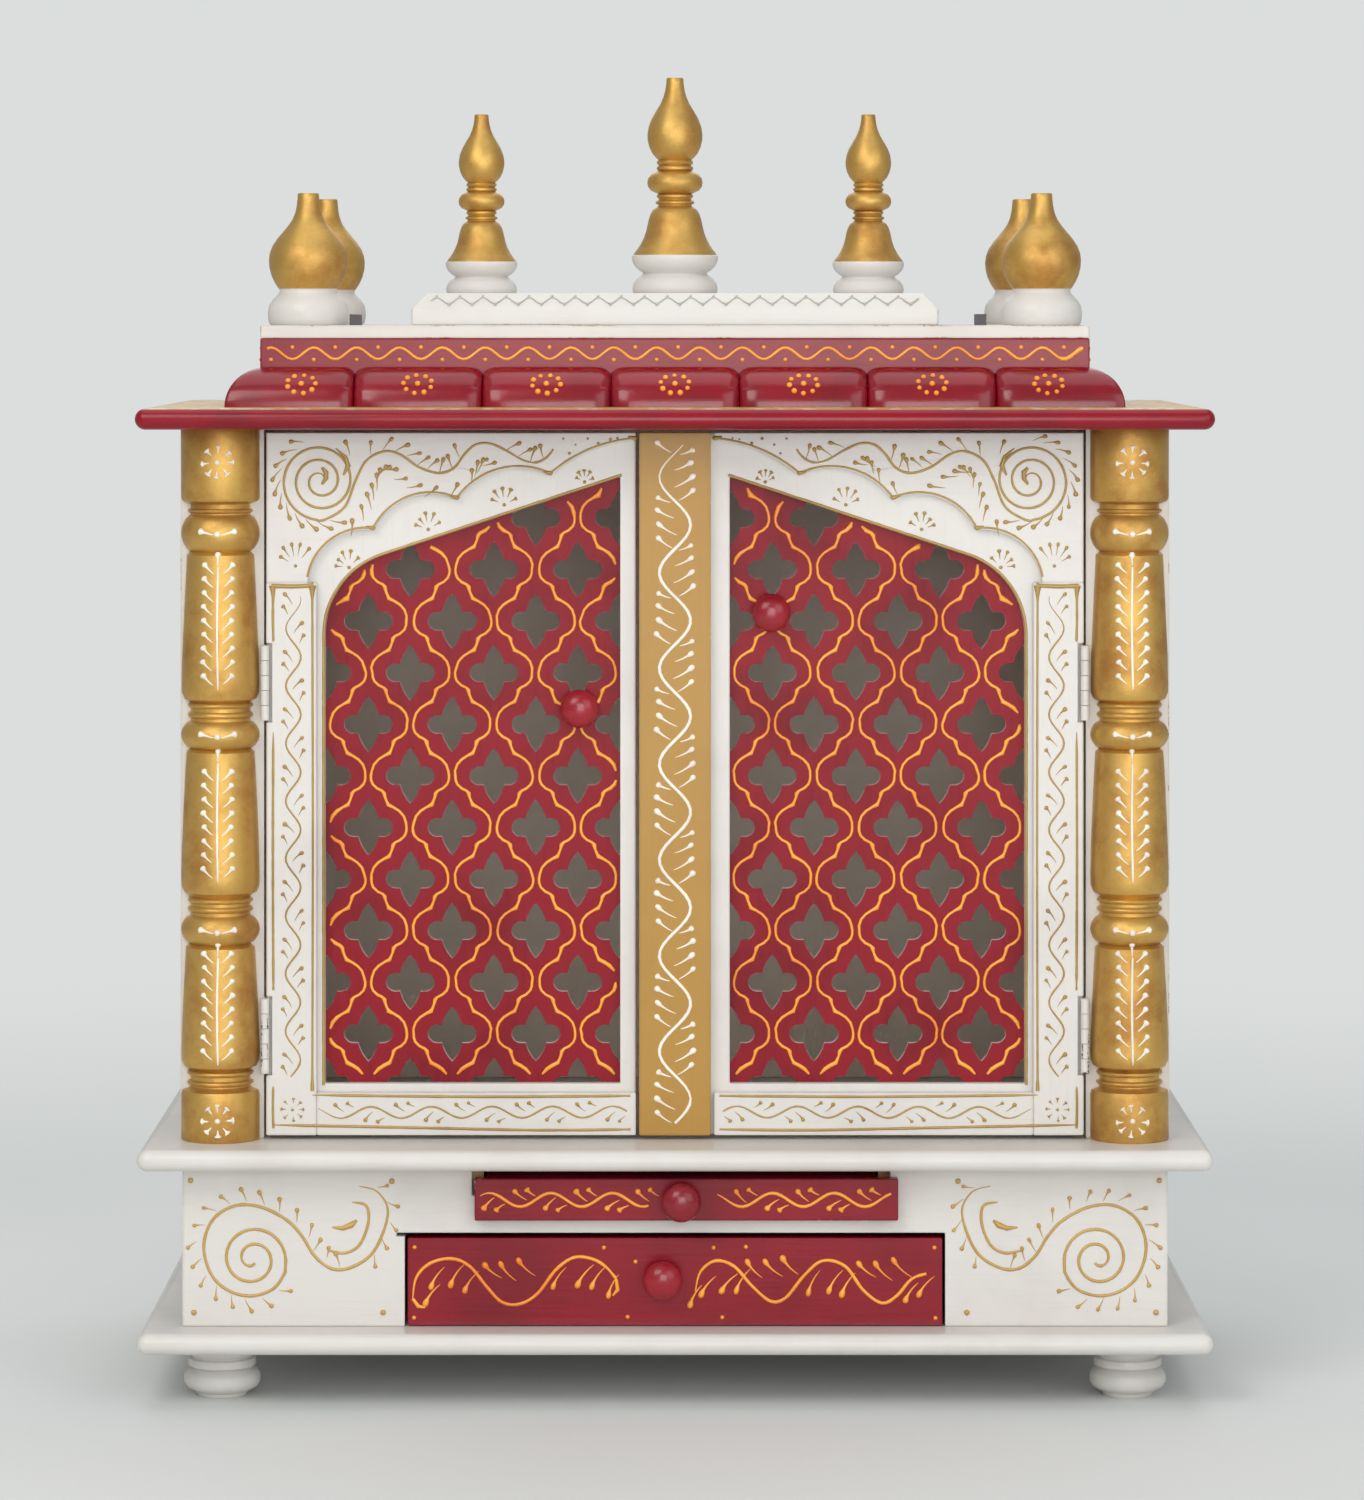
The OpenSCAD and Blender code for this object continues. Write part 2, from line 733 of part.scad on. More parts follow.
module finial_bases() {
    color("white") {
        translate([0, platform_y, finial_z]) finial_base(1);
        for (s = [-1, 1]) translate([s * finial_pitch, platform_y, finial_z]) finial_base(side_scale);
    }
}

module centre_finial() {
    color("goldenrod") translate([0, platform_y, finial_z]) finial(1);
}

module side_finials() {
    color("goldenrod") for (s = [-1, 1])
        translate([s * finial_pitch, platform_y, finial_z]) finial(side_scale);
}

module at_corners() {
    for (sx = [-1, 1]) for (y = [corner_front, corner_rear])
        translate([sx * corner_x, y, platform_z]) children();
}

module corner_finial_bases() {
    f = corner_h / 77;
    color("white") at_corners() turned() scale([f, f])
        polygon([[0, 0], [22.6, 0], [23.5, 4], [23.6, 8], [22.6, 12], [20, 15.5], [17.6, 18],
            [16.7, 20], [17.2, corner_joint], [0, corner_joint]]);
}

module corner_finials() {
    f = corner_h / 77;
    color("goldenrod") at_corners() turned() scale([f, f])
        polygon([[0, corner_joint], [17.2, corner_joint], [19, 24], [21.5, 29.5], [22.8, 35], [23, 38],
            [22.2, 43], [20, 48], [16.6, 52.5], [13, 56.5], [9.8, 61], [7.6, 66], [6.4, 71],
            [6, 77], [0, 77]]);
}

// Two small dark catches standing on the slab's front edge
module roof_clips() {
    color("dimgray") for (x = [-185, 177])
        block(x - 3.5, x + 3.5, roof_y + 4, roof_y + 8, platform_z, platform_z + 6.5);
}

feet();
base_board();
case_front();
case_sides();
case_back();
tray_runners();
upper_board();
side_walls();
back_panel();
pilasters();
columns();
eave_board();
pillow_moulding_front();
pillow_moulding_sides();
frieze_front();
frieze_sides();
frieze_back();
roof_slab();
roof_platform();
finial_bases();
centre_finial();
side_finials();
corner_finial_bases();
corner_finials();
frame_hinge_leaves();
roof_clips();
drawer_front();
drawer_sides();
drawer_back();
drawer_bottom();
drawer_knob();
tray_board();
tray_front_strip();
tray_knob();
left_door_board();
left_door_stile();
left_door_rail();
left_door_spandrel();
left_lattice();
left_door_knob();
left_hinge_leaves();
right_door_board();
right_door_stile();
right_door_rail();
right_door_spandrel();
right_lattice();
right_door_knob();
right_hinge_leaves();
centre_strip();
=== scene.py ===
"""Looks of a painted wooden household shrine: enamel, gold turnings, cone-painted vines and studio."""
import math
import random

import bpy
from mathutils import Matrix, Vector


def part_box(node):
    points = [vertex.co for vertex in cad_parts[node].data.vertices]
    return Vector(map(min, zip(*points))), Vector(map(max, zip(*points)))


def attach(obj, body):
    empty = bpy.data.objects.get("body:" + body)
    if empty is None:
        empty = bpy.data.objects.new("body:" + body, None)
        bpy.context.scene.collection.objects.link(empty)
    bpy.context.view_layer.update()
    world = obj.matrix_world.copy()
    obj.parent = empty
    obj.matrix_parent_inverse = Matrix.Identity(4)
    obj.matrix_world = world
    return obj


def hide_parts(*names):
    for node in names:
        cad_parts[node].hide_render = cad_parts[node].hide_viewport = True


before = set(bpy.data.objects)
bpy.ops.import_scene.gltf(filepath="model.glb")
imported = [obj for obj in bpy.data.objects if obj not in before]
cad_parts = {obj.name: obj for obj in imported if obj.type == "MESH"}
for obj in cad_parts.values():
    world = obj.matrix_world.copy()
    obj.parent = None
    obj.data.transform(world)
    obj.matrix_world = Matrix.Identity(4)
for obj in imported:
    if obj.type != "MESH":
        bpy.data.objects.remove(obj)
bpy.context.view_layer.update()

bl_info = {
    "name": "Painted shrine finishes",
    "version": (1, 0, 0),
    "blender": (4, 5, 0),
    "location": "View3D > Sidebar > Shrine",
    "description": "Finishes, turned pieces and painted ornament for a wooden household shrine",
    "category": "Object",
}

MM = 0.001


def srgb(r, g, b):
    """Turn an 8-bit display colour into the linear colour a socket takes."""
    out = []
    for c in (r, g, b):
        c = c / 255
        out.append(c / 12.92 if c <= 0.04045 else ((c + 0.055) / 1.055) ** 2.4)
    return tuple(out) + (1.0,)


def colour_property(name, description, default):
    """A colour setting for the panel."""
    return bpy.props.FloatVectorProperty(name=name, description=description, default=default[:3],
                                         size=3, min=0, max=1, subtype="COLOR")


class ShrineColours(bpy.types.PropertyGroup):
    """Colours of the shrine's paints."""
    white: colour_property("White enamel", "Enamel on the boards and doors", srgb(216, 213, 208))
    white_shade: colour_property("Thin white", "White where the brush left it thin", srgb(198, 192, 187))
    red: colour_property("Red enamel", "Enamel on the roof, jali, drawer and tray", srgb(138, 4, 28))
    red_shade: colour_property("Deep red", "Red where the paint lies thick", srgb(110, 2, 20))
    gold: colour_property("Gold paint", "Bronze paint on the turnings", srgb(206, 164, 86))
    gold_shade: colour_property("Dull gold", "Bronze paint where it is thin", srgb(172, 120, 52))
    strip: colour_property("Mustard gold", "Flat paint of the centre strip", srgb(176, 134, 62))
    line_gold: colour_property("Cone gold", "Raised gold lines on white", srgb(178, 146, 78))
    line_orange: colour_property("Cone orange", "Raised lines on red", srgb(250, 168, 48))
    line_white: colour_property("Cone white", "Raised lines on gold", srgb(246, 240, 226))
    # Inside: a warm cream lighter than the white enamel, partly the inner paint and partly painted light with a warm
    # painted shade tone for the shaded inside.
    inside: colour_property("Inside", "Paint inside the cabinet", srgb(240, 230, 212))


class ShrineSizes(bpy.types.PropertyGroup):
    """Sizes of the painted relief."""
    line_width: bpy.props.FloatProperty(name="Line width", description="Width of a cone-painted line, in mm",
                                        default=1.4, min=0.4, max=3)
    relief: bpy.props.FloatProperty(name="Relief", description="Height of painted lines against half their width",
                                    default=0.7, min=0.2, max=1, subtype="FACTOR")
    edge_round: bpy.props.FloatProperty(name="Edge rounding", description="Rounding of the boards' edges",
                                        default=0.0008, min=0, max=0.003, subtype="DISTANCE", unit="LENGTH")


# ---------------------------------------------------------------- node groups

def new_group(name, inputs, outputs):
    """A shader node group with its sockets."""
    group = bpy.data.node_groups.new(name, "ShaderNodeTree")
    for label, kind, default in inputs:
        socket = group.interface.new_socket(name=label, in_out="INPUT", socket_type=kind)
        if default is not None:
            socket.default_value = default
    for label, kind in outputs:
        group.interface.new_socket(name=label, in_out="OUTPUT", socket_type=kind)
    return group, group.nodes.new("NodeGroupInput"), group.nodes.new("NodeGroupOutput")


def math_node(tree, operation, a, b=None, clamp=False):
    """One maths node."""
    node = tree.nodes.new("ShaderNodeMath")
    node.operation = operation
    node.use_clamp = clamp
    for slot, value in ((0, a), (1, b)):
        if value is None:
            continue
        if isinstance(value, (int, float)):
            node.inputs[slot].default_value = value
        else:
            tree.links.new(value, node.inputs[slot])
    return node.outputs[0]


def noise(tree, vector, scale, detail=4.0, rough=0.55):
    """Noise at a place."""
    node = tree.nodes.new("ShaderNodeTexNoise")
    node.inputs["Scale"].default_value = scale
    node.inputs["Detail"].default_value = detail
    node.inputs["Roughness"].default_value = rough
    tree.links.new(vector, node.inputs["Vector"])
    return node.outputs["Fac"]


def spread(tree, value, low, high, out_low=0.0, out_high=1.0):
    """Map one range of values onto another, held at its ends."""
    node = tree.nodes.new("ShaderNodeMapRange")
    node.interpolation_type = "SMOOTHSTEP"
    for slot, number in ((1, low), (2, high), (3, out_low), (4, out_high)):
        node.inputs[slot].default_value = number
    tree.links.new(value, node.inputs[0])
    return node.outputs[0]


def blend_colour(tree, factor, a, b, mode="MIX"):
    """Mix two colours by a factor."""
    node = tree.nodes.new("ShaderNodeMix")
    node.data_type = "RGBA"
    node.blend_type = mode
    if isinstance(factor, (int, float)):
        node.inputs[0].default_value = factor
    else:
        tree.links.new(factor, node.inputs[0])
    for slot, value in ((6, a), (7, b)):
        if isinstance(value, tuple):
            node.inputs[slot].default_value = value
        else:
            tree.links.new(value, node.inputs[slot])
    return node.outputs[2]


def stretched(tree, vector, stretch):
    """A vector scaled along each axis."""
    node = tree.nodes.new("ShaderNodeVectorMath")
    node.operation = "MULTIPLY"
    tree.links.new(vector, node.inputs[0])
    if isinstance(stretch, tuple):
        node.inputs[1].default_value = stretch
    else:
        tree.links.new(stretch, node.inputs[1])
    return node.outputs[0]


def build_brushed_enamel():
    """Brush strokes, uneven cover and small runs, for any enamel colour."""
    group, gin, gout = new_group(
        "Brushed enamel",
        [("Vector", "NodeSocketVector", None), ("Paint", "NodeSocketColor", (0.8, 0.8, 0.8, 1)),
         ("Thin paint", "NodeSocketColor", (0.6, 0.6, 0.6, 1)), ("Stroke", "NodeSocketVector", (1, 1, 1)),
         ("Unevenness", "NodeSocketFloat", 0.5), ("Gloss", "NodeSocketFloat", 0.35)],
        [("Color", "NodeSocketColor"), ("Roughness", "NodeSocketFloat"), ("Height", "NodeSocketFloat")])
    strokes_at = stretched(group, gin.outputs["Vector"], gin.outputs["Stroke"])
    strokes = noise(group, strokes_at, 420, 5, 0.6)
    cloud = noise(group, gin.outputs["Vector"], 14, 4, 0.6)
    fine = noise(group, gin.outputs["Vector"], 900, 2, 0.5)
    cover = math_node(group, "MULTIPLY", spread(group, cloud, 0.42, 0.72), gin.outputs["Unevenness"])
    streak = math_node(group, "MULTIPLY", spread(group, strokes, 0.5, 0.8), gin.outputs["Unevenness"])
    amount = math_node(group, "ADD", cover, math_node(group, "MULTIPLY", streak, 0.6), clamp=True)
    colour = blend_colour(group, amount, gin.outputs["Paint"], gin.outputs["Thin paint"])
    group.links.new(colour, gout.inputs["Color"])
    rough = math_node(group, "ADD", gin.outputs["Gloss"],
                      math_node(group, "MULTIPLY", math_node(group, "ADD", strokes, cloud), 0.12))
    group.links.new(rough, gout.inputs["Roughness"])
    height = math_node(group, "ADD", strokes, math_node(group, "MULTIPLY", fine, 0.15))
    group.links.new(math_node(group, "ADD", height, cloud), gout.inputs["Height"])
    return group


def build_chipped_edges():
    """Mask of knocks and bare wood along the edges of a board, from the board's middle and half size."""
    group, gin, gout = new_group(
        "Chipped edges",
        [("Vector", "NodeSocketVector", None), ("Middle", "NodeSocketVector", (0, 0, 0)),
         ("Half size", "NodeSocketVector", (1, 1, 1)), ("Reach", "NodeSocketFloat", 0.002),
         ("Wear", "NodeSocketFloat", 0.5)],
        [("Mask", "NodeSocketFloat"), ("Dirt", "NodeSocketFloat")])

    def vector_math(operation, a, b=None):
        node = group.nodes.new("ShaderNodeVectorMath")
        node.operation = operation
        group.links.new(a, node.inputs[0])
        if b is not None:
            group.links.new(b, node.inputs[1])
        return node.outputs[0]

    away = vector_math("SUBTRACT", gin.outputs["Half size"],
                       vector_math("ABSOLUTE", vector_math("SUBTRACT", gin.outputs["Vector"], gin.outputs["Middle"])))
    parts = group.nodes.new("ShaderNodeSeparateXYZ")
    group.links.new(away, parts.inputs[0])
    x, y, z = parts.outputs
    total = math_node(group, "ADD", math_node(group, "ADD", x, y), z)
    least = math_node(group, "MINIMUM", math_node(group, "MINIMUM", x, y), z)
    most = math_node(group, "MAXIMUM", math_node(group, "MAXIMUM", x, y), z)
    edge = math_node(group, "SUBTRACT", math_node(group, "SUBTRACT", total, least), most)
    near = math_node(group, "SUBTRACT", 1.0, math_node(group, "DIVIDE", edge, gin.outputs["Reach"]), clamp=True)
    patches = spread(group, noise(group, gin.outputs["Vector"], 22, 3, 0.6), 0.5, 0.62)
    ragged = noise(group, gin.outputs["Vector"], 700, 4, 0.7)
    wear = math_node(group, "MULTIPLY", math_node(group, "MULTIPLY", near, patches), gin.outputs["Wear"])
    mask = spread(group, math_node(group, "ADD", wear, ragged), 0.92, 0.98)
    group.links.new(mask, gout.inputs["Mask"])
    grime = math_node(group, "MULTIPLY", near, noise(group, gin.outputs["Vector"], 60, 4, 0.6))
    group.links.new(math_node(group, "MULTIPLY", grime, 0.55), gout.inputs["Dirt"])
    return group


def build_bronze_paint():
    """Bronze-powder paint: fine glitter, brush rings and duller thin places."""
    group, gin, gout = new_group(
        "Bronze paint",
        [("Vector", "NodeSocketVector", None), ("Bright", "NodeSocketColor", (0.8, 0.6, 0.2, 1)),
         ("Dull", "NodeSocketColor", (0.5, 0.3, 0.1, 1)), ("Stroke", "NodeSocketVector", (1, 1, 1))],
        [("Color", "NodeSocketColor"), ("Roughness", "NodeSocketFloat"), ("Height", "NodeSocketFloat"),
         ("Metallic", "NodeSocketFloat")])
    strokes = noise(group, stretched(group, gin.outputs["Vector"], gin.outputs["Stroke"]), 300, 5, 0.65)
    cloud = noise(group, gin.outputs["Vector"], 38, 4, 0.6)
    powder = noise(group, gin.outputs["Vector"], 2600, 2, 0.6)
    amount = math_node(group, "ADD", spread(group, cloud, 0.42, 0.75),
                       math_node(group, "MULTIPLY", spread(group, strokes, 0.5, 0.75), 0.35), clamp=True)
    colour = blend_colour(group, amount, gin.outputs["Bright"], gin.outputs["Dull"])
    colour = blend_colour(group, math_node(group, "MULTIPLY", spread(group, powder, 0.55, 0.7), 0.25),
                          colour, (1.0, 0.86, 0.5, 1.0))
    group.links.new(colour, gout.inputs["Color"])
    group.links.new(math_node(group, "ADD", 0.27, math_node(group, "MULTIPLY", cloud, 0.24)),
                    gout.inputs["Roughness"])
    height = math_node(group, "ADD", math_node(group, "MULTIPLY", strokes, 1.0),
                       math_node(group, "MULTIPLY", powder, 0.25))
    group.links.new(height, gout.inputs["Height"])
    group.links.new(spread(group, cloud, 0.3, 0.8, 0.84, 0.6), gout.inputs["Metallic"])
    return group


def build_wood_grain():
    """Straight softwood grain along X or Y, with pores."""
    group, gin, gout = new_group(
        "Wood grain", [("Vector", "NodeSocketVector", None), ("Stroke", "NodeSocketVector", (1, 1, 1))],
        [("Color", "NodeSocketColor"), ("Height", "NodeSocketFloat")])
    at = stretched(group, gin.outputs["Vector"], gin.outputs["Stroke"])
    rings = noise(group, at, 90, 3, 0.5)
    pores = noise(group, at, 700, 3, 0.6)
    colour = blend_colour(group, spread(group, rings, 0.35, 0.7), srgb(214, 178, 128), srgb(170, 126, 78))
    colour = blend_colour(group, spread(group, pores, 0.6, 0.75, 0, 0.5), colour, srgb(120, 84, 50))
    group.links.new(colour, gout.inputs["Color"])
    group.links.new(math_node(group, "ADD", rings, pores), gout.inputs["Height"])
    return group


GROUPS = {}


def group_in(material, label, **values):
    """Place one of the shared effects in a material, on Object coordinates."""
    builders = {"enamel": build_brushed_enamel, "chips": build_chipped_edges,
                "bronze": build_bronze_paint, "grain": build_wood_grain}
    if label not in GROUPS:
        GROUPS[label] = builders[label]()
    tree = material.node_tree
    node = tree.nodes.new("ShaderNodeGroup")
    node.node_tree = GROUPS[label]
    place = tree.nodes.get("Texture Coordinate") or tree.nodes.new("ShaderNodeTexCoord")
    tree.links.new(place.outputs["Object"], node.inputs["Vector"])
    for key, value in values.items():
        node.inputs[key.replace("_", " ")].default_value = value
    return node


def begin_material(name):
    """A new material, its node tree and its shader."""
    material = bpy.data.materials.new(name)
    material.use_nodes = True
    shader = material.node_tree.nodes["Principled BSDF"]
    return material, material.node_tree, shader


def add_bump(tree, shader, height, strength, distance):
    """Lead a height into the shader as bump."""
    bump = tree.nodes.new("ShaderNodeBump")
    bump.inputs["Strength"].default_value = strength
    bump.inputs["Distance"].default_value = distance
    tree.links.new(height, bump.inputs["Height"])
    tree.links.new(bump.outputs[0], shader.inputs["Normal"])


ACROSS, UPRIGHT, DEEP = (0.06, 1, 1), (1, 1, 0.06), (1, 0.06, 1)


def colours():
    """The panel's paint colours."""
    return bpy.context.scene.shrine_colours


def rgba(value):
    """A colour with full alpha."""
    return tuple(value)[:3] + (1.0,)


def enamel(name, paint, thin, stroke, box=None, wear=0.5, uneven=0.4, gloss=0.28, under=None, reach=0.0016,
           coat=0.25, bump=0.35):
    """Enamel brushed on wood; box is the board's low and high corners, for its chipped edges."""
    material, tree, shader = begin_material(name)
    coat_node = group_in(material, "enamel", Paint=rgba(paint), Thin_paint=rgba(thin), Stroke=stroke,
                         Unevenness=uneven, Gloss=gloss)
    colour = coat_node.outputs["Color"]
    rough = coat_node.outputs["Roughness"]
    height = coat_node.outputs["Height"]
    if box is not None:
        low, high = Vector(box[0]), Vector(box[1])
        chips = group_in(material, "chips", Middle=tuple((low + high) / 2), Half_size=tuple((high - low) / 2),
                         Reach=reach, Wear=wear)
        colour = blend_colour(tree, chips.outputs["Dirt"], colour, blend_colour(
            tree, 1.0, colour, srgb(198, 184, 172), "MULTIPLY"))
        colour = blend_colour(tree, chips.outputs["Mask"], colour, under or srgb(120, 92, 70))
        rough = math_node(tree, "ADD", rough, math_node(tree, "MULTIPLY", chips.outputs["Mask"], 0.35), clamp=True)
        height = math_node(tree, "SUBTRACT", height, math_node(tree, "MULTIPLY", chips.outputs["Mask"], 1.5))
    tree.links.new(colour, shader.inputs["Base Color"])
    tree.links.new(rough, shader.inputs["Roughness"])
    shader.inputs["Coat Weight"].default_value = coat
    shader.inputs["Coat Roughness"].default_value = 0.18
    shader.inputs["Specular IOR Level"].default_value = 0.2
    add_bump(tree, shader, height, bump, 0.0004)
    return material


def bronze(name, stroke=(1, 1, 12)):
    """Bronze paint on turned wood; the strokes run round the piece."""
    material, tree, shader = begin_material(name)
    node = group_in(material, "bronze", Bright=rgba(colours().gold), Dull=rgba(colours().gold_shade), Stroke=stroke)
    tree.links.new(node.outputs["Color"], shader.inputs["Base Color"])
    tree.links.new(node.outputs["Roughness"], shader.inputs["Roughness"])
    tree.links.new(node.outputs["Metallic"], shader.inputs["Metallic"])
    add_bump(tree, shader, node.outputs["Height"], 0.4, 0.0004)
    return material


def cone_paint(name, paint, shade, gloss=0.3, metal=0.0):
    """Thick paint squeezed from a cone: rounded, slightly uneven and glossy."""
    material, tree, shader = begin_material(name)
    node = group_in(material, "enamel", Paint=rgba(paint), Thin_paint=shade, Stroke=(1, 1, 1), Unevenness=0.8,
                    Gloss=gloss)
    tree.links.new(node.outputs["Color"], shader.inputs["Base Color"])
    tree.links.new(node.outputs["Roughness"], shader.inputs["Roughness"])
    shader.inputs["Metallic"].default_value = metal
    shader.inputs["Coat Weight"].default_value = 0.3
    add_bump(tree, shader, node.outputs["Height"], 0.25, 0.0003)
    return material


def bare_wood(name, stroke):
    """Unpainted wood with its grain along the stroke."""
    material, tree, shader = begin_material(name)
    node = group_in(material, "grain", Stroke=stroke)
    tree.links.new(node.outputs["Color"], shader.inputs["Base Color"])
    shader.inputs["Roughness"].default_value = 0.62
    add_bump(tree, shader, node.outputs["Height"], 0.4, 0.0003)
    return material


def dress(node_name, material):
    """Give a construction piece its finish."""
    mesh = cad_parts[node_name].data
    mesh.materials.clear()
    mesh.materials.append(material)


# ---------------------------------------------------------------- making pieces

def deselect():
    """Clear the selection."""
    if bpy.context.object and bpy.context.object.mode != "OBJECT":
        bpy.ops.object.mode_set(mode="OBJECT")
    bpy.ops.object.select_all(action="DESELECT")


def pick(piece):
    """Select one piece and make it active."""
    deselect()
    piece.select_set(True)
    bpy.context.view_layer.objects.active = piece


def new_curve(name):
    """An empty curve object at the origin, made from the stock curve."""
    deselect()
    bpy.ops.curve.primitive_bezier_curve_add(location=(0, 0, 0))
    piece = bpy.context.object
    piece.name = name
    piece.data.splines.clear()
    piece.data.dimensions = "3D"
    return piece


def smooth_path(points, step):
    """A smooth path through the points, in steps of about the given length; extra values ride along."""
    if len(points) < 3:
        return [tuple(p) for p in points]
    ends = [points[0]] + list(points) + [points[-1]]
    path = []
    for i in range(1, len(ends) - 2):
        p0, p1, p2, p3 = ends[i - 1:i + 3]
        count = max(1, int(math.dist(p1[:2], p2[:2]) / step))
        for k in range(count):
            t = k / count
            path.append(tuple(0.5 * ((2 * b) + (c - a) * t + (2 * a - 5 * b + 4 * c - d) * t * t
                                     + (3 * b - a - 3 * c + d) * t ** 3)
                              for a, b, c, d in zip(p0, p1, p2, p3)))
    path.append(tuple(points[-1]))
    return path


def finish_mesh(piece, angle=38):
    """Merge doubles, turn the faces outward and smooth by angle."""
    pick(piece)
    bpy.ops.object.mode_set(mode="EDIT")
    bpy.ops.mesh.select_all(action="SELECT")
    bpy.ops.mesh.remove_doubles(threshold=0.000005)
    bpy.ops.mesh.normals_make_consistent(inside=False)
    bpy.ops.object.mode_set(mode="OBJECT")
    bpy.ops.object.shade_smooth_by_angle(angle=math.radians(angle))


def turn(name, outline, centre, size=1.0, steps=72):
    """Turn an outline of (radius, height) in mm about an upright axis, as on a lathe."""
    piece = new_curve(name)
    spline = piece.data.splines.new("POLY")
    spline.points.add(len(outline) - 1)
    for point, (r, z) in zip(spline.points, outline):
        point.co = (r * MM * size, 0, z * MM * size, 1)
    bpy.ops.object.convert(target="MESH")
    screw = piece.modifiers.new("Lathe", "SCREW")
    screw.steps = screw.render_steps = steps
    screw.use_merge_vertices = True
    screw.merge_threshold = 0.000005
    bpy.ops.object.modifier_apply(modifier="Lathe")
    bpy.ops.object.mode_set(mode="EDIT")
    bpy.ops.mesh.select_all(action="SELECT")
    bpy.ops.transform.translate(value=centre)
    bpy.ops.object.mode_set(mode="OBJECT")
    finish_mesh(piece)
    return piece


def copy_moved(piece, name, shift):
    """A copy with its own mesh, moved in its mesh."""
    pick(piece)
    bpy.ops.object.duplicate(linked=False)
    twin = bpy.context.object
    twin.name = name
    bpy.ops.object.mode_set(mode="EDIT")
    bpy.ops.mesh.select_all(action="SELECT")
    bpy.ops.transform.translate(value=shift)
    bpy.ops.object.mode_set(mode="OBJECT")
    return twin


def join(pieces, name):
    """Join pieces into the first."""
    deselect()
    for piece in pieces:
        piece.select_set(True)
    bpy.context.view_layer.objects.active = pieces[0]
    bpy.ops.object.join()
    pieces[0].name = name
    return pieces[0]


def settle(piece, body, slot, material, *nodes):
    """Hand a finished piece to its body, with its finish and the pieces it stands for."""
    piece.data.materials.clear()
    piece.data.materials.append(material)
    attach(piece, body)
    if nodes:
        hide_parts(*nodes)
    return piece


# ---------------------------------------------------------------- painted strokes
# A stroke is a list of (across, up, half width) in mm on the surface it is painted on.

def wobble(value, amount, rng):
    """A value varied by hand, by up to the share given."""
    return value * (1 + rng.uniform(-amount, amount))


def drawn_line(points, width, rng, step=2.2, fade=True, blobs=True):
    """A line squeezed from the cone: nearly even, thin where it starts and with a bead where it ends."""
    path = smooth_path(points, step)
    last = len(path) - 1
    stroke = []
    for i, (u, v) in enumerate(path):
        t = i / max(1, last)
        r = wobble(width / 2, 0.09, rng)
        if fade:
            r *= min(1, 0.35 + 6 * t, 0.5 + 6 * (1 - t))
        if blobs and t > 0.97:
            r *= 1.6
        stroke.append((u, v, r))
    return stroke


def leaf(u, v, angle, length, width, bend=0.0):
    """A dab with its head at (u, v) and a thin tail drawn out toward the angle, in degrees."""
    a = math.radians(angle)
    stroke = []
    shape = ((-0.09, 0.3), (-0.05, 0.75), (0.02, 1.0), (0.11, 1.0), (0.19, 0.78), (0.28, 0.46), (0.42, 0.34),
             (0.62, 0.27), (0.82, 0.2), (1.0, 0.1))
    for t, r in shape:
        side = bend * length * t * t
        stroke.append((u + math.cos(a) * t * length - math.sin(a) * side,
                       v + math.sin(a) * t * length + math.cos(a) * side, r * width * 0.62))
    return stroke


def dot(u, v, r):
    """A round bead of paint."""
    return [(u - r * 0.85, v, r * 0.45), (u - r * 0.5, v, r * 0.85), (u, v, r), (u + r * 0.5, v, r * 0.85),
            (u + r * 0.85, v, r * 0.45)]


def flower(u, v, radius, rng, petals=8, size=2.0):
    """A ring of dabs round a dot."""
    strokes = [dot(u, v, size * 0.55)]
    for i in range(petals):
        a = 360 / petals * i + rng.uniform(-7, 7)
        ru, rv = math.cos(math.radians(a)), math.sin(math.radians(a))
        strokes.append(leaf(u + ru * radius, v + rv * radius, a + 180, radius * 0.45, wobble(size, 0.15, rng)))
    return strokes


def fan(u, v, reach, rng, angles=(25, 55, 85, 115, 145), width=1.7):
    """Dabs spread like a hand above a dot."""
    strokes = [dot(u, v, width * 0.55)]
    for a in angles:
        far = reach * (1.25 if 50 < a % 180 < 130 else 1.0)
        ca, sa = math.cos(math.radians(a)), math.sin(math.radians(a))
        strokes.append(leaf(u + ca * far, v + sa * far, a + 180, far * 0.55, wobble(width, 0.15, rng)))
    return strokes


def leaves_along(path, side, rng, gap=6.0, pitch=7.0, length=7.0, width=1.6, lean=35, first=0.0, bend=0.12):
    """Dabs in step along one side of a path, their tails swept back to it."""
    strokes = []
    travelled = -first
    for (u0, v0), (u1, v1) in zip(path, path[1:]):
        travelled += math.dist((u0, v0), (u1, v1))
        if travelled < pitch:
            continue
        travelled = 0
        heading = math.degrees(math.atan2(v1 - v0, u1 - u0))
        away = math.radians(heading + 90 * side)
        reach = gap + rng.uniform(-0.5, 0.9)
        strokes.append(leaf(u1 + math.cos(away) * reach, v1 + math.sin(away) * reach,
                            heading + 180 + side * lean + rng.uniform(-8, 8), wobble(length, 0.15, rng),
                            wobble(width, 0.15, rng), side * bend))
    return strokes


def spiral(u, v, inner, outer, end_angle, turns, hand=1, steps=64):
    """Points of a coil that opens outward."""
    points = []
    for i in range(steps + 1):
        t = i / steps
        a = math.radians(end_angle - hand * 360 * turns * (1 - t))
        r = inner + (outer - inner) * t ** 0.9
        points.append((u + r * math.cos(a), v + r * math.sin(a)))
    return points


def mirrored(strokes):
    """The same strokes on the other door."""
    return [[(-u, v, r) for u, v, r in stroke] for stroke in strokes]


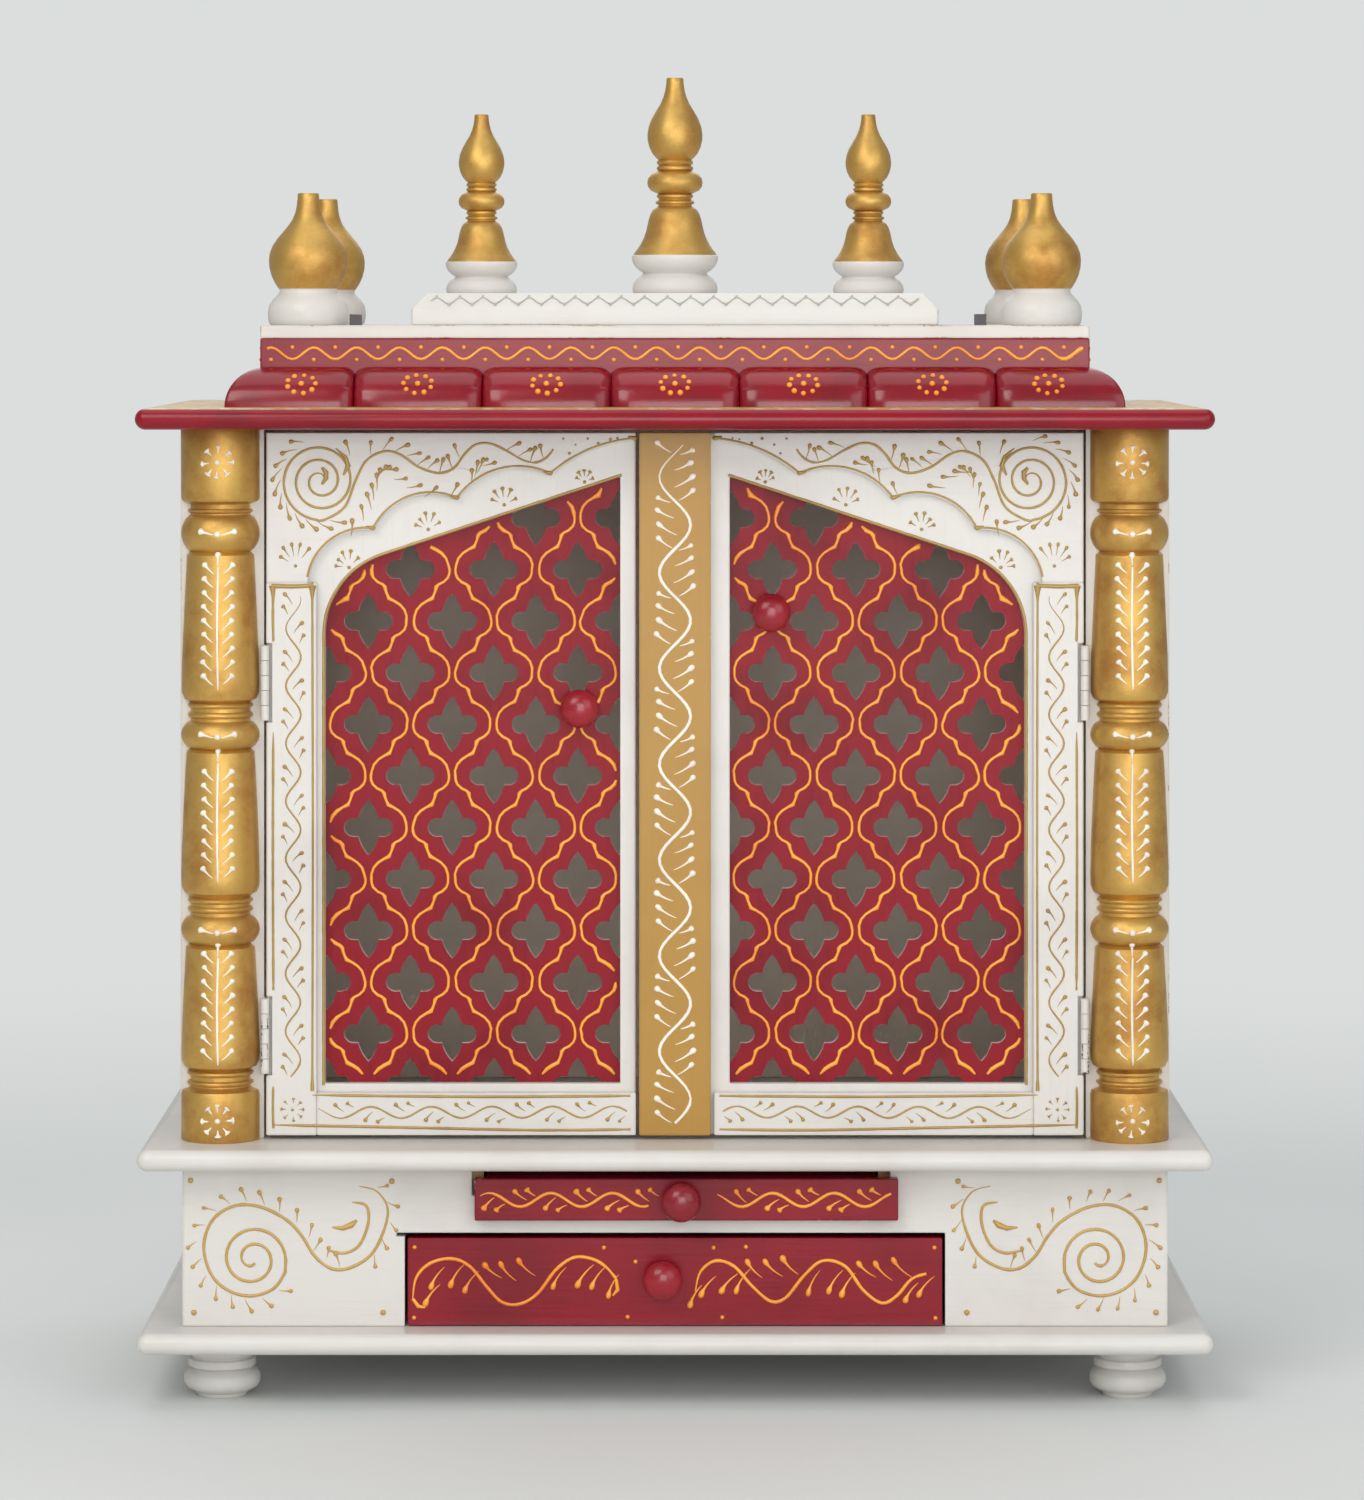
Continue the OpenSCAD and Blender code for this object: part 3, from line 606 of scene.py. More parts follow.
def paint(name, strokes, place, body, slot, material, flatten=None):
    """Lay the strokes on a surface as raised beads of paint, in one piece."""
    piece = new_curve(name)
    data = piece.data
    data.bevel_depth = 1.0
    data.bevel_resolution = 1
    data.use_fill_caps = True
    for stroke in strokes:
        if len(stroke) < 2:
            continue
        spline = data.splines.new("POLY")
        spline.points.add(len(stroke) - 1)
        for point, (u, v, r) in zip(spline.points, stroke):
            x, y, z = place(u, v, r)
            point.co = (x * MM, y * MM, z * MM, 1)
            point.radius = r * MM
    pick(piece)
    bpy.ops.object.convert(target="MESH")
    if flatten is not None:
        bpy.ops.object.mode_set(mode="EDIT")
        bpy.ops.mesh.select_all(action="SELECT")
        bpy.ops.transform.resize(value=(1, bpy.context.scene.shrine_sizes.relief, 1),
                                 center_override=(0, flatten * MM, 0))
        bpy.ops.object.mode_set(mode="OBJECT")
    finish_mesh(piece, 80)
    return settle(piece, body, slot, material)


def flat_front(y):
    """Lay strokes on a plane that faces the front."""
    return lambda u, v, r: (u, y, v)


# ---------------------------------------------------------------- outlines of the turned pieces, in mm

FOOT = [(0, 0), (13.4, 0), (14.3, 0.8), (14.9, 2.4), (17.2, 3.6), (20.3, 5.3), (21.8, 7.6), (22, 9.8), (21.7, 12),
        (20.3, 14.4), (17.8, 15.8), (17.2, 16.2), (18.2, 16.8), (19.3, 17.6), (19.5, 19.8), (19, 21.6), (17.4, 22.4),
        (17.4, 23), (18.9, 23.8), (19.5, 25), (19.5, 31), (0, 31)]
KNOB = [(0, 0), (7.2, 0), (7.2, 1.2), (6.2, 2.6), (5.8, 4.5), (6, 6.2), (7.4, 7.6), (9.6, 8.7), (10.8, 10.2),
        (11, 11.6), (10.4, 13.4), (9.4, 14.4), (9.1, 14.7), (8.6, 15.2), (7.2, 16.4), (5, 17.4), (2.6, 17.9), (0, 18)]
TALL_FOOT = [(0, 0), (24.6, 0), (25.3, 0.8), (25.6, 3), (24.9, 6), (22.8, 9), (20, 11), (18.9, 11.9), (19.4, 12.6),
             (21.4, 13.8), (23.8, 16), (25.3, 18.6), (25.9, 21.2), (25.7, 22.6), (25.2, 23), (0, 23)]
TALL_TOP = [(0, 22.9), (25.1, 22.9), (24.6, 24), (22.6, 26.6), (20.6, 29.6), (18.7, 33.4), (17.4, 37), (16.6, 40.5),
            (15.7, 44.5), (14.7, 47.6), (13.3, 50.2), (11, 51.8), (9.9, 52.6), (10.1, 53.3), (11.5, 53.9),
            (11.6, 55), (10.6, 55.8), (9.7, 56.4), (10, 57.2), (10.9, 57.8), (10.9, 59), (9.8, 59.6), (11.6, 60.4),
            (14.6, 61.9), (16.2, 64.2), (16.6, 66.6), (16.1, 69), (14.4, 71.4), (11.4, 72.9), (9.8, 73.6),
            (10.8, 74.3), (11, 75.3), (10.6, 76.2), (9.5, 76.8), (10.6, 77.6), (11, 78.6), (10.6, 79.5),
            (9.9, 80.1), (11.2, 81.2), (13.6, 84), (15.4, 87.8), (16.4, 92), (16.5, 95.4), (15.8, 100), (14, 104.8),
            (11.4, 109.4), (8.7, 113.8), (6.9, 118), (5.8, 122), (5.2, 126), (5.1, 128.6), (4.6, 129.3), (0, 129.3)]
CORNER_FOOT = [(0, 0), (22, 0), (22.9, 1.2), (23.5, 4), (23.6, 7.6), (22.8, 11.6), (20.6, 15), (18, 17.4), (16.8, 19.2),
               (16.7, 20.4), (17.2, 21.4), (0, 21.4)]
CORNER_TOP = [(0, 21.3), (17.3, 21.3), (18.2, 22.6), (19.8, 25.2), (21.6, 29.2), (22.7, 33.6), (23, 38), (22.5, 42),
              (20.9, 46.2), (18, 50.6), (14.8, 54.4), (11.8, 58), (9.3, 61.6), (7.7, 65.4), (6.8, 69.6), (6.3, 74),
              (6.2, 76.4), (5.7, 77), (0, 77)]


def column_profile():
    """The turned outline of a column, the same steps as its construction piece but softened."""
    r = 22.5
    n = r * 0.76

    def ring(z0, z1, inner, outer, count=9):
        return [(inner + (outer - inner) * math.sin(math.pi * i / (count - 1)) ** 0.6,
                 z0 + (z1 - z0) * i / (count - 1)) for i in range(count)]

    points = [(0, 0), (r - 0.6, 0), (r, 1), (r, 26), (r - 0.7, 28.4), (n + 1.2, 29.4), (n, 30.6)]
    points += ring(31.4, 34.6, n, n * 1.12, 5) + ring(36.8, 40.2, n, n * 1.12, 5)
    points += [(n + 1.5, 41.4), (r * 0.93, 42.4), (r * 0.99, 45.5), (r, 50), (r * 0.985, 62), (r * 0.955, 78),
               (r * 0.915, 96), (r * 0.88, 110.4), (n + 0.6, 112)]
    points += ring(112.4, 128.8, n, r, 13) + ring(130.6, 134.2, n, n * 1.1, 5) + ring(135.8, 139.2, n, n * 1.1, 5)
    points += [(n + 1.5, 141), (r * 0.93, 142), (r * 0.99, 145.5), (r, 151), (r * 0.985, 166), (r * 0.95, 186),
               (r * 0.905, 208), (r * 0.87, 222.4), (n + 0.6, 224)]
    points += ring(224.3, 240.2, n, r, 13) + ring(241.8, 245.6, n, n * 1.1, 5) + ring(247.6, 251, n, n * 1.1, 5)
    points += [(n + 1.5, 252), (r * 0.92, 252.8), (r * 0.985, 256.5), (r * 0.99, 262), (r * 0.975, 278),
               (r * 0.94, 296), (r * 0.895, 318), (r * 0.86, 335.4), (n + 0.4, 337)]
    points += ring(337.4, 358.4, n, r, 15) + ring(359.4, 362, n, n * 1.1, 5)
    points += [(n, 363), (n, 364.6), (n + 2.2, 365.4), (r - 0.8, 366.4), (r, 368), (r, 407), (r - 0.6, 408), (0, 408)]
    return points


COLUMN = column_profile()


def column_radius(height):
    """The column's radius at a height over its foot."""
    for (r0, z0), (r1, z1) in zip(COLUMN, COLUMN[1:]):
        if z0 <= height <= z1 and z1 > z0:
            return r0 + (r1 - r0) * (height - z0) / (z1 - z0)
    return 22.5


# ---------------------------------------------------------------- measures taken from the construction

def mm_box(node):
    """A node's corners, in mm."""
    low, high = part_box(node)
    return [c * 1000 for c in low], [c * 1000 for c in high]


def turned_places():
    """Centres of the turned pieces, in mm."""
    places = {}
    low, high = mm_box("columns")
    places["column_x"] = high[0] - 22.5
    places["face_y"] = high[1]
    places["column_z"] = low[2]
    low, high = mm_box("finial_bases")
    places["finial_y"] = (low[1] + high[1]) / 2
    places["finial_z"] = low[2]
    places["side_x"] = high[0] - 25.9 * 0.83
    low, high = mm_box("corner_finial_bases")
    places["corner_x"] = high[0] - 23.6
    places["corner_ys"] = (low[1] + 23.6, high[1] - 23.6)
    places["corner_z"] = low[2]
    low, high = mm_box("feet")
    places["foot_x"] = high[0] - 22
    places["foot_ys"] = (low[1] + 22, high[1] - 22)
    return places


# ---------------------------------------------------------------- operators

class SHRINE_OT_boards(bpy.types.Operator):
    """Give every kept board its brushed enamel, chipped edges and rounded arrises"""
    bl_idname = "shrine.boards"
    bl_label = "Board finishes"

    def execute(self, context):
        c = colours()
        white_boards = {
            "base_board": (ACROSS, 0.8), "upper_board": (ACROSS, 0.55), "case_front": (ACROSS, 0.35),
            "case_sides": (DEEP, 0.5), "case_back": (ACROSS, 0.5), "side_walls": (UPRIGHT, 0.4),
            "pilasters": (UPRIGHT, 0.6), "frieze_back": (ACROSS, 0.5), "roof_slab": (ACROSS, 0.6),
            "roof_platform": (ACROSS, 0.5), "left_door_stile": (UPRIGHT, 0.3), "right_door_stile": (UPRIGHT, 0.3),
            "left_door_rail": (ACROSS, 0.3), "right_door_rail": (ACROSS, 0.3),
            "left_door_spandrel": (ACROSS, 0.25), "right_door_spandrel": (ACROSS, 0.25),
            "left_door_board": (UPRIGHT, 0.2), "right_door_board": (UPRIGHT, 0.2), "back_panel": (UPRIGHT, 0.3)}
        for node, (stroke, wear) in white_boards.items():
            material = enamel("White enamel " + node, c.white, c.white_shade, stroke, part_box(node), wear,
                              under=srgb(172, 140, 118))
            dress(node, material)
        red_boards = {
            "eave_board": (ACROSS, 0.75), "frieze_front": (ACROSS, 0.3), "frieze_sides": (DEEP, 0.3),
            "drawer_front": (ACROSS, 0.3), "tray_board": (ACROSS, 0.3), "tray_front_strip": (ACROSS, 0.45)}
        for node, (stroke, wear) in red_boards.items():
            material = enamel("Red enamel " + node, c.red, c.red_shade, stroke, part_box(node), wear,
                              under=srgb(226, 214, 206), uneven=0.7, gloss=0.2, coat=0.35)
            dress(node, material)
        self.gild_eave_top(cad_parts["eave_board"].data.materials[0])
        # Painted light on the inner faces: a warm cream, lighter than the white enamel, with a warm painted shade tone.
        self.tint_inside_with_painted_light(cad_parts["back_panel"].data.materials[0], 1, -0.5, True)
        self.tint_inside_with_painted_light(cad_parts["side_walls"].data.materials[0], 0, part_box("side_walls")[1][0] - 0.006,
                          False)
        dress("centre_strip", enamel("Mustard gold centre_strip", c.strip, srgb(162, 120, 54), UPRIGHT,
                                     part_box("centre_strip"), 0.4, under=srgb(232, 222, 204), gloss=0.34))
        for node, stroke in (("tray_runners", DEEP), ("drawer_sides", DEEP), ("drawer_back", ACROSS),
                             ("drawer_bottom", ACROSS)):
            dress(node, bare_wood("Bare softwood " + node, stroke))
        for node in ("frame_hinge_leaves", "left_hinge_leaves", "right_hinge_leaves"):
            material = enamel("Painted hinge " + node, c.white, srgb(206, 202, 198), (1, 1, 1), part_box(node), 0.6,
                              under=srgb(40, 38, 38), uneven=0.6, gloss=0.3, reach=0.003)
            dress(node, material)
        clips = enamel("Dark catch", srgb(62, 60, 60), srgb(110, 106, 102), (1, 1, 1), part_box("roof_clips"), 0.8,
                       under=srgb(150, 146, 140), gloss=0.35)
        clips.node_tree.nodes["Principled BSDF"].inputs["Metallic"].default_value = 0.6
        dress("roof_clips", clips)
        for node in list(white_boards) + list(red_boards) + ["centre_strip"]:
            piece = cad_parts[node]
            weld = piece.modifiers.new("Seams", "WELD")
            weld.merge_threshold = 0.00001
            bevel = piece.modifiers.new("Arris", "BEVEL")
            bevel.width = context.scene.shrine_sizes.edge_round
            bevel.segments = 2
            bevel.limit_method = "ANGLE"
            bevel.angle_limit = math.radians(50)
            bevel.harden_normals = False
        return {"FINISHED"}

    @staticmethod
    def gild_eave_top(material):
        """The top of the eave is dabbed with gold between red."""
        tree = material.node_tree
        shader = tree.nodes["Principled BSDF"]
        base = shader.inputs["Base Color"].links[0].from_socket
        place = tree.nodes["Texture Coordinate"]
        parts = tree.nodes.new("ShaderNodeSeparateXYZ")
        tree.links.new(place.outputs["Normal"], parts.inputs[0])
        up = spread(tree, parts.outputs[2], 0.9, 0.97)
        dabs = spread(tree, noise(tree, place.outputs["Object"], 130, 3, 0.5), 0.42, 0.5)
        gilt = blend_colour(tree, dabs, srgb(226, 206, 166), srgb(204, 158, 74))
        tree.links.new(blend_colour(tree, up, base, gilt), shader.inputs["Base Color"])

    @staticmethod
    def tint_inside_with_painted_light(material, axis, limit, by_normal):
        """The cabinet's inner faces get a warm cream lighter than the outside white: partly their paint, partly painted
        light with a warm painted shade tone.
        """
        tree = material.node_tree
        shader = tree.nodes["Principled BSDF"]
        base = shader.inputs["Base Color"].links[0].from_socket
        place = tree.nodes["Texture Coordinate"]
        parts = tree.nodes.new("ShaderNodeSeparateXYZ")
        tree.links.new(place.outputs["Normal" if by_normal else "Object"], parts.inputs[0])
        value = parts.outputs[axis]
        if not by_normal:
            value = math_node(tree, "ABSOLUTE", value)
        inner = math_node(tree, "LESS_THAN", value, limit)
        # Painted light and painted shade tone: warm cream, lighter than the outside white, on the inner faces only.
        inside_paint_and_light = blend_colour(tree, spread(tree, noise(tree, place.outputs["Object"], 9, 4, 0.6), 0.35, 0.7),
                             rgba(colours().inside), srgb(234, 221, 202))
        tree.links.new(blend_colour(tree, inner, base, inside_paint_and_light), shader.inputs["Base Color"])


class SHRINE_OT_jali(bpy.types.Operator):
    """Finish the two pierced sheets: red on the faces, pale where the holes are cut"""
    bl_idname = "shrine.jali"
    bl_label = "Jali sheets"

    def execute(self, context):
        c = colours()
        for node in ("left_lattice", "right_lattice"):
            material = enamel("Red enamel " + node, c.red, c.red_shade, UPRIGHT, None, uneven=0.8, gloss=0.34,
                              coat=0.08)
            tree = material.node_tree
            shader = tree.nodes["Principled BSDF"]
            base = shader.inputs["Base Color"].links[0].from_socket
            place = tree.nodes["Texture Coordinate"]
            parts = tree.nodes.new("ShaderNodeSeparateXYZ")
            tree.links.new(place.outputs["Normal"], parts.inputs[0])
            cut = spread(tree, math_node(tree, "ABSOLUTE", parts.outputs[1]), 0.5, 0.3)
            ragged = noise(tree, place.outputs["Object"], 160, 4, 0.6)
            cut = math_node(tree, "MULTIPLY", cut, spread(tree, ragged, 0.34, 0.44))
            tree.links.new(blend_colour(tree, cut, base, srgb(232, 214, 208)), shader.inputs["Base Color"])
            dress(node, material)
        return {"FINISHED"}


class SHRINE_OT_turnings(bpy.types.Operator):
    """Turn the feet, knobs, columns and finials with their full beads and hollows"""
    bl_idname = "shrine.turnings"
    bl_label = "Turned pieces"

    def execute(self, context):
        c = colours()
        at = turned_places()
        chipped = enamel("White enamel turned feet", c.white, c.white_shade, (1, 1, 12),
                         ((-1, -1, 0), (1, 1, 0.9)), 0.0, uneven=0.5)
        white = enamel("White enamel turnings", c.white, c.white_shade, (1, 1, 12), None, uneven=0.45)
        gold = bronze("Bronze paint turnings")
        first = turn("turned_foot", FOOT, (-at["foot_x"] * MM, at["foot_ys"][0] * MM, 0))
        feet = [first]
        for dx, dy in ((1, 0), (0, 1), (1, 1)):
            feet.append(copy_moved(first, "foot_copy", (dx * 2 * at["foot_x"] * MM,
                                                        dy * (at["foot_ys"][1] - at["foot_ys"][0]) * MM, 0)))
        settle(join(feet, "turned_feet"), "cabinet", "white_paint", chipped, "feet")
        z = at["finial_z"] * MM
        y = at["finial_y"] * MM
        centre_foot = turn("centre_foot", TALL_FOOT, (0, y, z))
        side_foot = turn("side_foot", TALL_FOOT, (-at["side_x"] * MM, y, z), 0.83)
        other_foot = copy_moved(side_foot, "other_foot", (2 * at["side_x"] * MM, 0, 0))
        settle(join([centre_foot, side_foot, other_foot], "tall_finial_feet"), "cabinet", "white_paint", white,
               "finial_bases")
        settle(turn("centre_finial_turned", TALL_TOP, (0, y, z)), "cabinet", "gold_paint", gold, "centre_finial")
        side = turn("side_finial", TALL_TOP, (-at["side_x"] * MM, y, z), 0.83)
        other = copy_moved(side, "side_finial_copy", (2 * at["side_x"] * MM, 0, 0))
        settle(join([side, other], "side_finials_turned"), "cabinet", "gold_paint", gold, "side_finials")
        for name, outline, slot, finish, node in (
                ("corner_finial_feet", CORNER_FOOT, "white_paint", white, "corner_finial_bases"),
                ("corner_finials_turned", CORNER_TOP, "gold_paint", gold, "corner_finials")):
            y0, y1 = at["corner_ys"]
            first = turn(name + "_first", outline, (-at["corner_x"] * MM, y0 * MM, at["corner_z"] * MM))
            group = [first]
            for dx, dy in ((1, 0), (0, 1), (1, 1)):
                group.append(copy_moved(first, "corner_copy", (dx * 2 * at["corner_x"] * MM, dy * (y1 - y0) * MM, 0)))
            settle(join(group, name), "cabinet", slot, finish, node)
        left = turn("left_column", COLUMN, (-at["column_x"] * MM, at["face_y"] * MM, at["column_z"] * MM), 1.0, 96)
        pick(left)
        bpy.ops.object.mode_set(mode="EDIT")
        bpy.ops.mesh.select_all(action="SELECT")
        bpy.ops.mesh.bisect(plane_co=(0, at["face_y"] * MM, 0), plane_no=(0, 1, 0), use_fill=True,
                            clear_inner=False, clear_outer=True)
        bpy.ops.object.mode_set(mode="OBJECT")
        finish_mesh(left)
        right = copy_moved(left, "right_column", (2 * at["column_x"] * MM, 0, 0))
        settle(join([left, right], "turned_columns"), "cabinet", "gold_paint", gold, "columns")
        red = enamel("Red enamel knobs", srgb(158, 24, 40), srgb(112, 14, 28), (1, 12, 1), None, uneven=0.8,
                     gloss=0.14, coat=0.6)
        for node, body in (("left_door_knob", "left_door"), ("right_door_knob", "right_door"),
                           ("drawer_knob", "drawer"), ("tray_knob", "tray")):
            low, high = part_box(node)
            knob = turn(node + "_turned", KNOB, (0, 0, 0))
            pick(knob)
            knob.rotation_euler = (math.radians(90), 0, 0)
            knob.location = ((low[0] + high[0]) / 2, high[1], (low[2] + high[2]) / 2)
            bpy.ops.object.transform_apply(location=True, rotation=True, scale=True)
            finish_mesh(knob)
            settle(knob, body, "red_paint", red, node)
        return {"FINISHED"}


class SHRINE_OT_pillows(bpy.types.Operator):
    """Carve the row of pillow blocks that runs round the foot of the roof"""
    bl_idname = "shrine.pillows"
    bl_label = "Pillow moulding"

    def execute(self, context):
        low, high = mm_box("pillow_moulding_front")
        side_high = mm_box("pillow_moulding_sides")[1]
        height = high[2] - low[2]
        half = high[0]
        self.height, self.half, self.base = height, half, low[2]
        red = enamel("Red enamel pillows", colours().red, colours().red_shade, ACROSS, None, uneven=0.8, gloss=0.12,
                     coat=0.7, bump=0.5)
        pitch = 2 * half / 7
        row = []
        for i in range(7):
            x0, x1 = -half + i * pitch, -half + (i + 1) * pitch
            row.append(self.block(x0, x1, i == 0, i == 6, lambda x, out, z: (x, high[1] - out, z), True))
        settle(join(row, "roof_pillows_front"), "cabinet", "red_paint", red, "pillow_moulding_front")
        sides = []
        depth = side_high[1] - high[1]
        for sign in (-1, 1):
            for i in range(3):
                y0, y1 = high[1] + depth * i / 3, high[1] + depth * (i + 1) / 3
                sides.append(self.block(y0, y1, False, False,
                                        lambda y, out, z, s=sign: (s * (half - height + out), y, z), False))
        settle(join(sides, "roof_pillows_sides"), "cabinet", "red_paint", red, "pillow_moulding_sides")
        return {"FINISHED"}

    def block(self, start, end, round_start, round_end, place, front):
        """One pillow, from a cube pressed into a quarter-round block with soft edges at its seams."""
        deselect()
        bpy.ops.mesh.primitive_cube_add(size=2, location=(0, 0, 0))
        piece = bpy.context.object
        bpy.ops.object.mode_set(mode="EDIT")
        bpy.ops.mesh.subdivide(number_cuts=15)
        bpy.ops.object.mode_set(mode="OBJECT")
        h = self.height
        inner = 4.0 if not front else 0.0
        for vertex in piece.data.vertices:
            a, b, c = vertex.co
            s = math.sin(a * math.pi / 2)
            u, w = (1 - b) / 2, (c + 1) / 2
            r = max(u, w)
            angle = math.atan2(w, u) if r > 0 else 0
            seam = abs(s) ** 14 if not ((s < 0 and round_start) or (s > 0 and round_end)) else abs(s) ** 30 * 0.2
            swell = 1 - 0.2 * seam - 0.035 * s * s
            out = h * r * math.cos(angle) * swell
            up = h * r * math.sin(angle) * (1 - 0.16 * seam * (w > 0.5))
            shape_in = h * (1 - math.sqrt(max(0.0, 1 - min(1, up / h) ** 2)))
            lo = start + (shape_in if round_start else 0.15)
            hi = end - (shape_in if round_end else 0.15)
            along = lo + (hi - lo) * (s + 1) / 2
            out = max(out, inner)
            vertex.co = Vector(place(along, out, self.base + up)) * MM
        finish_mesh(piece, 60)
        return piece


# ---------------------------------------------------------------- painted ornament

def vine_wave(u0, v0, u1, v1, swing, period, shift=0.0):
    """Points of a waving stem between two places."""
    length = math.dist((u0, v0), (u1, v1))
    du, dv = (u1 - u0) / length, (v1 - v0) / length
    count = max(8, int(length / 2.4))
    points = []
    for i in range(count + 1):
        d = length * i / count
        w = swing * math.sin(2 * math.pi * d / period + shift)
        points.append((u0 + du * d - dv * w, v0 + dv * d + du * w))
    return points


def waving_vine(u0, v0, u1, v1, swing, period, rng, width=1.0, leaf_length=6.0, leaf_width=1.5, reach=6.0,
                shift=0.0):
    """A waving stem with a pair of dabs in each hollow."""
    stem = vine_wave(u0, v0, u1, v1, swing, period, shift)
    strokes = [drawn_line(stem, width, rng)]
    length = math.dist((u0, v0), (u1, v1))
    du, dv = (u1 - u0) / length, (v1 - v0) / length
    heading = math.degrees(math.atan2(dv, du))
    half = period / 2
    first = (math.pi / 2 - shift) / (2 * math.pi) * period
    k = math.floor(-first / half)
    while first + k * half < length:
        d = first + k * half
        k += 1
        if d < 1 or d > length - 2:
            continue
        side = -1 if math.sin(2 * math.pi * d / period + shift) > 0 else 1
        for n, (step, size) in enumerate(((-3.4, 1.0), (3.6, 0.72))):
            x, off = d + step, side * reach * (0.86 + 0.14 * n)
            strokes.append(leaf(u0 + du * x - dv * off, v0 + dv * x + du * off,
                                heading + (-side) * (56 - 8 * n) + rng.uniform(-8, 8), leaf_length * size * 1.2,
                                wobble(leaf_width * 1.3, 0.15, rng), side * 0.26))
    return strokes


WINDOW_SIDE = 33.5      # from the door's hinge edge to the arched window, in mm
WINDOW_MEETING = 9      # from the meeting edge to the window
WINDOW_SILL = 29        # from the door's foot to the window
ARCH_DROP = 116         # from the door's top down to where the arch springs
SHOULDER = 47.5         # radius of the arch's shoulder
ARCH_SLOPE = math.radians(18.3)
JALI_PITCH = 24.1       # between two columns of holes
JALI_RISE = 59.4        # between two holes of one column
WAVE_SWING = 10.2       # of the orange line to each side
SCALLOP_RISES = (0.2, 0.2, 0.18, 0.08)

SPANDREL_STEM = [(-198.5, 502.1), (-189.5, 509.8), (-183.1, 525.2), (-176.7, 536.7), (-166.5, 541.8), (-157.5, 539.9),
                 (-147.2, 532.9), (-135.7, 529.3), (-126.8, 532.2), (-120.3, 540.5), (-114, 545.7), (-106.3, 546.3),
                 (-97.3, 542.5), (-87.1, 536.7), (-79.4, 535.4), (-73, 538.7), (-69.8, 543.1)]
CASE_HOOK = [(-180.1, 123), (-169.9, 120), (-163.8, 109.8), (-166.9, 95.5), (-174, 83.3), (-186.2, 76.2),
             (-196.4, 76.2), (-205.6, 83.3), (-212.7, 94.5), (-220.9, 103.3), (-235.1, 110.8), (-249.4, 112.2),
             (-261.6, 106.1), (-267.7, 95.5), (-268.3, 83.3), (-263.2, 70.7), (-253.4, 62.9), (-241.2, 60.5),
             (-229, 64.6), (-222.3, 74.1)]
DRAWER_LEFT = [(-149.6, 58.9), (-147.5, 71.1), (-139.4, 79.2), (-127.2, 81.7), (-117, 77.2), (-106.8, 65),
               (-98.6, 56.8), (-88.5, 55.8), (-78.3, 61.9), (-68.1, 75.2), (-57.9, 82.3), (-47.7, 81.7),
               (-39.6, 77.2), (-33.5, 70.1)]
DRAWER_RIGHT = [(11.6, 63), (14.5, 74.2), (23.1, 80.5), (33.6, 77.4), (44.2, 65.8), (54.7, 57.3), (63.2, 59.4),
                (73.7, 72.1), (84.3, 80.5), (97, 77.4), (107.5, 63.6), (118.1, 56.3), (126.5, 60.5), (134.9, 70),
                (143.4, 73.1)]


def arc_points(a, b, rise, count=16):
    """Points of the scallop between two cusps, rising to its left."""
    chord = math.dist(a, b)
    sag = chord * rise
    radius = (chord * chord / 4 + sag * sag) / (2 * sag)
    nx, ny = -(b[1] - a[1]) / chord, (b[0] - a[0]) / chord
    cx, cy = (a[0] + b[0]) / 2 - nx * (radius - sag), (a[1] + b[1]) / 2 - ny * (radius - sag)
    a0 = math.atan2(a[1] - cy, a[0] - cx)
    a1 = math.atan2(b[1] - cy, b[0] - cx)
    return [(cx + radius * math.cos(a0 + (a1 - a0) * i / count), cy + radius * math.sin(a0 + (a1 - a0) * i / count))
            for i in range(count + 1)]


def door_measures():
    """Edges of the left door's boards, in mm."""
    board_low, board_high = mm_box("left_door_board")
    stile_low, stile_high = mm_box("left_door_stile")
    rail_high = mm_box("left_door_rail")[1]
    return {"hinge": board_low[0], "meeting": board_high[0], "foot": board_low[2], "top": board_high[2],
            "stile": stile_high[0], "stile_top": stile_high[2], "rail_top": rail_high[2], "trim_y": stile_low[1],
            "board_y": board_low[1]}


def arch_line(d, inset=0.0):
    """The edge of the arched window, from its lower hinge corner up and over to its lower meeting corner."""
    out = d["hinge"] + WINDOW_SIDE - inset
    inner = d["meeting"] - WINDOW_MEETING + inset
    sill = d["foot"] + WINDOW_SILL - inset
    spring = d["top"] - ARCH_DROP
    r = SHOULDER + inset
    cx = d["hinge"] + WINDOW_SIDE + SHOULDER
    points = [(inner, sill), (out, sill)]
    arc = [(cx - r * math.cos(t), spring + r * math.sin(t))
           for t in [(math.pi / 2 - ARCH_SLOPE) * i / 12 for i in range(13)]]
    points += arc
    tx, tz = arc[-1]
    points.append((inner, tz + (inner - tx) * math.tan(ARCH_SLOPE)))
    return points


def under_arch(d, u, v, margin):
    """Whether a place lies inside the window by the margin."""
    out, inner = d["hinge"] + WINDOW_SIDE, d["meeting"] - WINDOW_MEETING
    spring = d["top"] - ARCH_DROP
    if not (out + margin < u < inner - margin) or v < d["foot"] + WINDOW_SILL + margin:
        return False
    cx = out + SHOULDER
    tx, tz = cx - SHOULDER * math.sin(ARCH_SLOPE), spring + SHOULDER * math.cos(ARCH_SLOPE)
    if u < tx:
        return v < spring or math.dist((u, v), (cx, spring)) < SHOULDER - margin
    return v < tz + (u - tx) * math.tan(ARCH_SLOPE) - margin


def spandrel_edge(d):
    """The cusped edge, from the hinge side to the meeting side."""
    x0 = d["stile"] - 5
    run = d["meeting"] - x0
    base = d["stile_top"]
    cusps = [(x0, base + 2), (x0 + run * 0.201, base + 30), (x0 + run * 0.457, base + 47.5),
             (x0 + run * 0.742, base + 61.5), (x0 + run, base + 81.5)]
    return [arc_points(a, b, rise) for a, b, rise in zip(cusps, cusps[1:], SCALLOP_RISES)]


